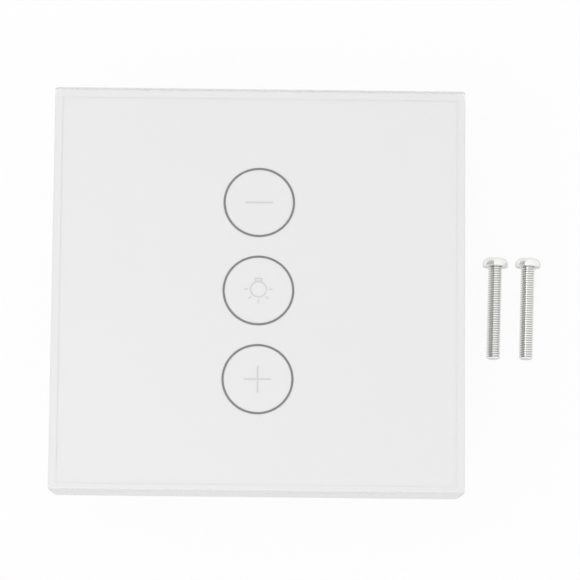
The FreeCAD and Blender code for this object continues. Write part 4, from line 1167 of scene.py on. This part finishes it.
# For each part its columns and lines of joints, and how far out they stand as shares of half its box
SOLDERED = {
    "transformer_core": (3, 2, 0.5, 0.6),
    "bulk_capacitor": (2, 1, 0.5, 0),
    "fuse": (2, 1, 0.6, 0),
    "choke_core": (2, 1, 0.5, 0),
    "film_capacitor": (2, 1, 0.5, 0),
    "bridge_rectifier": (2, 2, 0.55, 1.15),
    "varistor": (2, 1, 0.5, 0),
    "optocoupler": (2, 2, 1.1, 0.5),
    "mosfet_left": (3, 1, 0.6, 0),
    "mosfet_right": (3, 1, 0.6, 0),
}


def spread(count, reach, middle):
    """Evenly spaced distances, the outer ones this far from the middle."""
    return spaced(count, 2 * reach / max(count - 1, 1), middle)


class BuildPowerBoard(bpy.types.Operator):
    """Dimmer chip and the solder joints of the mains parts"""
    bl_idname = "light_switch.build_power_board"
    bl_label = "Power Board"

    def execute(self, context):
        low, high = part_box("dimmer_chip")
        middle = middle_of("dimmer_chip")
        hand_over(chip_package("dimmer_chip", "dimmer_package", front=1), "black_plastic", "dimmer_chip")
        legs = gull_legs("dimmer_legs", (high.y - low.y) / 2, count=4)
        hand_over(placed(legs, middle.x, middle.y, low.z, turn=(0, 0, QUARTER_TURN)), "plated_steel")
        hand_over(copies_at(solder_joint(), self.joint_places(), "solder_joints"), "shield_tin")
        return {"FINISHED"}

    def joint_places(self):
        """Where the leads of the mains parts come through the board."""
        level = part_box("power_board")[1].z
        places = []
        for node, (columns, lines, share_x, share_y) in SOLDERED.items():
            low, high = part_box(node)
            middle, half = middle_of(node), (high - low) / 2
            for x in spread(columns, share_x * half.x, middle.x):
                places += [(x, y, level) for y in spread(lines, share_y * half.y, middle.y)]
        return places


class BuildTransformer(bpy.types.Operator):
    """Ferrite core in two halves round a taped winding"""
    bl_idname = "light_switch.build_transformer"
    bl_label = "Transformer"

    def execute(self, context):
        self.build_core()
        self.build_winding()
        return {"FINISHED"}

    def build_core(self):
        """The core, with a fine seam round it where its halves meet."""
        low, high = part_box("transformer_core")
        level, half_seam, depth = (low.z + high.z) / 2, 0.06 * MM, 0.12 * MM
        core = rounded_copy("transformer_core", "core_halves", radius=0.2 * MM)
        rim = block("seam_tool", (low.x - MM, low.y - MM, level - half_seam),
                    (high.x + MM, high.y + MM, level + half_seam))
        inside = block("keep_tool", (low.x + depth, low.y + depth, level - MM),
                       (high.x - depth, high.y - depth, level + MM))
        hand_over(cut_with(core, cut_with(rim, inside)), "ferrite", "transformer_core")

    def build_winding(self):
        """A taped coil whose turns end a little inside the tape."""
        low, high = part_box("transformer_winding")
        tape, set_in = 0.35 * MM, 0.4 * MM
        winding = bevelled_corners(block("taped_winding", low, high), 1.6 * MM)
        with editing(winding):
            for height, inwards in ((low.z, set_in), (high.z, -set_in)):
                pick(winding, "FACE", lies_at(height))
                bpy.ops.mesh.inset(thickness=tape)
                extrude((0, 0, inwards))
        hand_over(bevelled_edges(tidy_faces(winding), width=0.08 * MM), "yellow_tape", "transformer_winding")


class BuildChoke(bpy.types.Operator):
    """Drum core with turns of copper wire between its flanges"""
    bl_idname = "light_switch.build_choke"
    bl_label = "Choke"

    def execute(self, context):
        hand_over(rounded_copy("choke_core", "drum_core", radius=0.25 * MM), "ferrite", "choke_core")
        low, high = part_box("choke_winding")
        middle = middle_of("choke_winding")
        turns = context.scene.light_switch_sizes.choke_turns
        pitch = (high.z - low.z) / (turns + 1)
        half_pitch = pitch / 2
        reach = (high.x - low.x) / 2 - half_pitch
        wire = 0.98 * half_pitch
        coil = added(bpy.ops.mesh.primitive_circle_add, "copper_turns", vertices=10, radius=wire,
                     location=(reach, 0, low.z + half_pitch), rotation=(QUARTER_TURN, 0, 0))
        wound(settle(coil), pitch, turns, steps=40)
        hand_over(placed(coil, middle.x, middle.y), "copper", "choke_winding")
        return {"FINISHED"}


class BuildRoundParts(bpy.types.Operator):
    """Bulk capacitor with its scored top, fuse and dipped varistor"""
    bl_idname = "light_switch.build_round_parts"
    bl_label = "Capacitor, Fuse and Varistor"

    def execute(self, context):
        self.build_capacitor()
        self.build_fuse()
        self.build_varistor()
        return {"FINISHED"}

    def build_capacitor(self):
        """A shrunk sleeve over the can, with the can's bare top showing inside its lip."""
        low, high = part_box("bulk_capacitor")
        middle = middle_of("bulk_capacitor")
        radius, lip, rounding, sunk = (high.x - low.x) / 2, 3.9 * MM, 0.7 * MM, 0.2 * MM
        crimp, depth, foot, foot_step = 2.2 * MM, 0.35 * MM, 0.5 * MM, 0.3 * MM
        profile = [(0, low.z + sunk), (lip, low.z + sunk)]
        profile += rounded_corner((radius - rounding, low.z + rounding), rounding, first=-90, last=0)
        profile += rounded_corner((radius + depth, high.z - crimp), 2 * depth, first=240, last=120)
        profile += [(radius, high.z - foot), (radius - foot_step, high.z), (0, high.z)]
        sleeve = turned("capacitor_sleeve", profile, steps=64)
        hand_over(placed(sleeve, middle.x, middle.y), "capacitor_sleeve", "bulk_capacitor")
        hand_over(placed(self.scored_top(lip, low.z), middle.x, middle.y), "sink_aluminium", "bulk_capacitor")

    def scored_top(self, lip, end):
        """The can's bare top with its crossed score lines, a little behind the sleeve's end."""
        face, back, edge = end + 0.05 * MM, end + 0.3 * MM, 0.1 * MM
        half_score, depth, arm = 0.12 * MM, 0.08 * MM, 0.8 * lip
        top = turned("capacitor_top", [(0, face), (lip - edge, face), (lip, back), (0, back)], steps=64)
        for x, y in ((arm, half_score), (half_score, arm)):
            cut_with(top, block("score_tool", (-x, -y, end), (x, y, face + depth)))
        return top

    def build_fuse(self):
        """A round fuse with a cap over its foot."""
        low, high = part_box("fuse")
        middle = middle_of("fuse")
        radius, foot, step, rounding = (high.x - low.x) / 2, 1.4 * MM, 0.25 * MM, 0.6 * MM
        profile = [(0, low.z)]
        profile += rounded_corner((radius - rounding, low.z + rounding), rounding, first=-90, last=0)
        profile += [(radius, high.z - foot), (radius - step, high.z - foot), (radius - step, high.z),
                    (0, high.z)]
        fuse = turned("round_fuse", profile, steps=64)
        hand_over(placed(fuse, middle.x, middle.y), "fuse_case", "fuse")

    def build_varistor(self):
        """A dipped disc on its edge, with the coat running down both leads."""
        low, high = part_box("varistor")
        middle = middle_of("varistor")
        radius, half, rounding = (high.x - low.x) / 2, (high.y - low.y) / 2, 1.2 * MM
        profile = [(0, -half)]
        profile += rounded_corner((radius - rounding, rounding - half), rounding, first=-90, last=0)
        profile += rounded_corner((radius - rounding, half - rounding), rounding) + [(0, half)]
        disc = turned("dipped_disc", profile, steps=64)
        placed(disc, middle.x, middle.y, low.z + radius, turn=(QUARTER_TURN, 0, 0))
        wide, narrow, lead, root, bend = 1.1 * MM, 0.75 * MM, 0.4 * MM, -3.5 * MM, -1.2 * MM
        coat = [(0, root), (wide, root), (narrow, bend), (lead, 0), (0, 0)]
        for x in spaced(2, radius, middle.x):
            cut_with(disc, placed(turned("lead_tool", coat, steps=24), x, middle.y, high.z), "UNION")
        hand_over(tidy_faces(disc), "varistor_coat", "varistor")


class BuildBoxParts(bpy.types.Operator):
    """Film capacitor, bridge rectifier and optocoupler with their legs"""
    bl_idname = "light_switch.build_box_parts"
    bl_label = "Film Capacitor, Bridge and Coupler"

    def execute(self, context):
        case = rounded_copy("film_capacitor", "film_capacitor_case", radius=0.6 * MM, segments=4)
        hand_over(case, "capacitor_case", "film_capacitor")
        self.build_four_legged("bridge_rectifier", "bridge", QUARTER_TURN)
        self.build_four_legged("optocoupler", "coupler", 0)
        return {"FINISHED"}

    def build_four_legged(self, node, name, turn):
        """A package with two legs on each side that go straight down, turned to its place on the board."""
        low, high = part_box(node)
        middle, size = middle_of(node), high - low
        along, across = (size.x, size.y) if turn else (size.y, size.x)
        hand_over(chip_package(node, f"{name}_package", front=-1), "black_plastic", node)
        inside, outside = across / 2 - 0.1 * MM, across / 2 + 0.3 * MM
        path = [(inside, -size.z / 2), (outside, -size.z / 2), (outside, 0)]
        legs = leg_rows(f"{name}_legs", path, width=0.6 * MM, thickness=0.25 * MM, count=2,
                        pitch=0.55 * along)
        hand_over(placed(legs, middle.x, middle.y, high.z, turn=(0, 0, turn)), "plated_steel")


class BuildTransistors(bpy.types.Operator):
    """Two switching transistors with metal backs, clamped to a grooved heat sink"""
    bl_idname = "light_switch.build_transistors"
    bl_label = "Transistors and Heat Sink"

    def execute(self, context):
        plate, tab, lead = 0.6 * MM, 2.6 * MM, 1.8 * MM
        for side in SIDES:
            self.build_package(side, plate, tab, lead)
            self.build_metal(side, plate, tab, lead)
        self.build_sink()
        return {"FINISHED"}

    def build_package(self, side, plate, tab, lead):
        """The black package in front of the plate, more bevelled round its front."""
        node = f"mosfet_{side}"
        low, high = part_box(node)
        package = block(f"transistor_{side}", (low.x, low.y, low.z + tab),
                        (high.x, high.y - plate, high.z - lead))
        bevelled_edges(package, width=0.4 * MM, segments=1,
                       wanted=lambda edge: max(corner.co.y for corner in edge.verts) < low.y + WELD)
        hand_over(bevelled_edges(package, width=0.08 * MM, segments=1), "black_plastic", node)

    def build_metal(self, side, plate, tab, lead):
        """The metal plate with its hole, and the three leads."""
        node = f"mosfet_{side}"
        low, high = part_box(node)
        middle, inside = (low.x + high.x) / 2, high.y - plate
        inset, sunk, lap, half_pin, pin_pitch = 0.1 * MM, 0.3 * MM, 0.2 * MM, 0.35 * MM, 2 * MM
        back = block("plate", (low.x + inset, inside, low.z), (high.x - inset, high.y, high.z - lead - sunk))
        drilled(back, (middle, high.y, low.z + tab / 2), radius=0.8 * MM, depth=4 * plate,
                turn=(QUARTER_TURN, 0, 0), corners=32)
        pin = block("lead", (-half_pin, inside - MM, high.z - lead - lap),
                    (half_pin, inside - MM / 2, high.z))
        pins = copies_at(pin, [(x, 0, 0) for x in spaced(3, pin_pitch, middle)], "leads")
        metal_parts = joined([back, pins], f"transistor_{side}_metal")
        hand_over(bevelled_edges(metal_parts, width=0.05 * MM, segments=1), "plated_steel", node)

    def build_sink(self):
        """A block of metal with upright grooves in its far side."""
        low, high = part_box("heat_sink")
        half_groove, depth, pitch, count = 0.4 * MM, 0.8 * MM, 1.8 * MM, 7
        groove = block("groove_pattern", (-half_groove, high.y - depth, low.z - MM),
                       (half_groove, high.y + MM, high.z + MM))
        places = [(x, 0, 0) for x in spaced(count, pitch, (low.x + high.x) / 2)]
        sink = cut_with(block("grooved_sink", low, high), copies_at(groove, places, "groove_tools"))
        bevelled_edges(tidy_faces(sink), width=0.08 * MM, segments=1)
        hand_over(sink, "sink_aluminium", "heat_sink")


# Carried-over nodes

class FinishNodes(bpy.types.Operator):
    """Gives every node that stays its finish"""
    bl_idname = "light_switch.finish_nodes"
    bl_label = "Finishes"

    def execute(self, context):
        for part in frame["record"]["subparts"]:
            mesh = frame["nodes"][part["node"]].data
            mesh.materials.clear()
            mesh.materials.append(finish_of(part["material_slot"]))
        return {"FINISHED"}


# Studio

def seen_rays(tree, path):
    """One for rays that see the background straight from the camera or through glass."""
    return maths(tree, "MAXIMUM", path["Is Camera Ray"], path["Is Transmission Ray"])


def put_in_studio(name, data, place, turn):
    """A lamp or a camera at its place."""
    holder = bpy.data.objects.new(name, data)
    holder.location = place
    holder.rotation_euler = turn
    bpy.context.scene.collection.objects.link(holder)
    return holder


class BuildStage(bpy.types.Operator):
    """Pale table, soft studio light and the camera"""
    bl_idname = "light_switch.build_stage"
    bl_label = "Studio"

    def execute(self, context):
        look = context.scene.light_switch_look
        self.lay_table(look)
        self.light_world(context.scene, look)
        self.hang_key_lamp(look)
        self.place_camera(context.scene)
        context.scene.view_settings.view_transform = "Standard"
        return {"FINISHED"}

    def lay_table(self, look):
        """A wide table under the lowest point, seen nearly white, that still takes a shadow."""
        table = added(bpy.ops.mesh.primitive_plane_add, "table", size=6, location=(0, 0, CAD_BOX[0].z))
        material, tree = bare_material("table_top")
        matt = add_node(tree, "ShaderNodeBsdfDiffuse", {"Color": (*look.floor_colour, 1)}).outputs[0]
        white = add_node(tree, "ShaderNodeEmission", {"Strength": 1.0}).outputs[0]
        path = add_node(tree, "ShaderNodeLightPath").outputs
        shown = maths(tree, "MAXIMUM", seen_rays(tree, path), path["Is Glossy Ray"])
        share = maths(tree, "MULTIPLY", shown, look.floor_glow)
        both = shader_between(tree, share, matt, white)
        tree.links.new(both, tree.nodes["Material Output"].inputs["Surface"])
        table.data.materials.append(material)

    def light_world(self, scene, look):
        """Even light from all round, seen as white, with a room mirrored in metal that darkens low down."""
        world = bpy.data.worlds.new("studio")
        scene.world = world
        world.use_nodes = True
        tree = world.node_tree
        direction = add_node(tree, "ShaderNodeTexCoord").outputs["Generated"]
        towards = add_node(tree, "ShaderNodeSeparateXYZ", {0: direction}).outputs
        path = add_node(tree, "ShaderNodeLightPath").outputs
        side = ramp(tree, towards["X"], look.mirror_left, 1.0, start=-0.7, end=0.3)
        wall = maths(tree, "MULTIPLY", side, look.mirror_low)
        room = ramp(tree, towards["Z"], wall, 1.0, start=0.3, end=0.75)
        lit = ramp(tree, path["Is Glossy Ray"], look.world_level, room)
        level = ramp(tree, seen_rays(tree, path), lit, 1.0)
        background = tree.nodes["Background"].inputs
        background["Color"].default_value = (1, 1, 1, 1)
        tree.links.new(level, background["Strength"])

    def hang_key_lamp(self, look):
        """A large soft lamp from the near left, whose power gives its share on a level face at the origin."""
        place = Vector((-0.35, -0.25, 0.95))
        lamp = bpy.data.lights.new("soft_box", "AREA")
        lamp.shape = "SQUARE"
        lamp.size = 0.8
        lamp.energy = look.key_level * math.pi ** 2 * place.length_squared * place.length / place.z
        put_in_studio("soft_box", lamp, place, place.to_track_quat("Z", "Y").to_euler())

    def place_camera(self, scene):
        """The photograph's camera, found from the panel's corners."""
        place = (-0.00345, -0.28141, 1.14615)
        turn_in_degrees = (13.894, -0.628, 0.496)
        camera = bpy.data.cameras.new("photo_camera")
        camera.sensor_width = 36
        camera.lens = 349.27
        scene.camera = put_in_studio("photo_camera", camera, place,
                                     [math.radians(angle) for angle in turn_in_degrees])


# Panel in the sidebar

BUILD_ORDER = (
    BuildGlass, BuildFilm, BuildFrame, BuildHousing, BuildSprings, BuildMountingScrews, BuildAssemblyScrews,
    BuildClampScrews, BuildTerminals, BuildTouchBoard, BuildLightGuides, BuildRadioBoard, BuildPlug,
    BuildPowerBoard, BuildTransformer, BuildChoke, BuildRoundParts, BuildBoxParts, BuildTransistors,
    FinishNodes, BuildStage,
)


class LightSwitchPanel(bpy.types.Panel):
    """Lists the operators in the order in which they run"""
    bl_idname = "VIEW3D_PT_light_switch"
    bl_label = "Light Switch"
    bl_space_type = "VIEW_3D"
    bl_region_type = "UI"
    bl_category = "Light Switch"

    def draw(self, context):
        for group in (context.scene.light_switch_sizes, context.scene.light_switch_look):
            for name in group.__annotations__:
                self.layout.prop(group, name)
        for operator in BUILD_ORDER:
            self.layout.operator(operator.bl_idname)


CLASSES = (LightSwitchSizes, LightSwitchLook, *BUILD_ORDER, LightSwitchPanel)


def register():
    """Makes the classes and their settings known to Blender."""
    for kind in CLASSES:
        bpy.utils.register_class(kind)
    bpy.types.Scene.light_switch_sizes = PointerProperty(type=LightSwitchSizes)
    bpy.types.Scene.light_switch_look = PointerProperty(type=LightSwitchLook)


def unregister():
    """Takes the classes and their settings away again, last one first."""
    del bpy.types.Scene.light_switch_look
    del bpy.types.Scene.light_switch_sizes
    for kind in reversed(CLASSES):
        bpy.utils.unregister_class(kind)


def main():
    """Builds everything in order."""
    register()
    bpy.ops.light_switch.build_glass()
    bpy.ops.light_switch.build_film()
    bpy.ops.light_switch.build_frame()
    bpy.ops.light_switch.build_housing()
    bpy.ops.light_switch.build_springs()
    bpy.ops.light_switch.build_mounting_screws()
    bpy.ops.light_switch.build_assembly_screws()
    bpy.ops.light_switch.build_clamp_screws()
    bpy.ops.light_switch.build_terminals()
    bpy.ops.light_switch.build_touch_board()
    bpy.ops.light_switch.build_light_guides()
    bpy.ops.light_switch.build_radio_board()
    bpy.ops.light_switch.build_plug()
    bpy.ops.light_switch.build_power_board()
    bpy.ops.light_switch.build_transformer()
    bpy.ops.light_switch.build_choke()
    bpy.ops.light_switch.build_round_parts()
    bpy.ops.light_switch.build_box_parts()
    bpy.ops.light_switch.build_transistors()
    bpy.ops.light_switch.finish_nodes()
    bpy.ops.light_switch.build_stage()


if __name__ == "__main__":
    main()
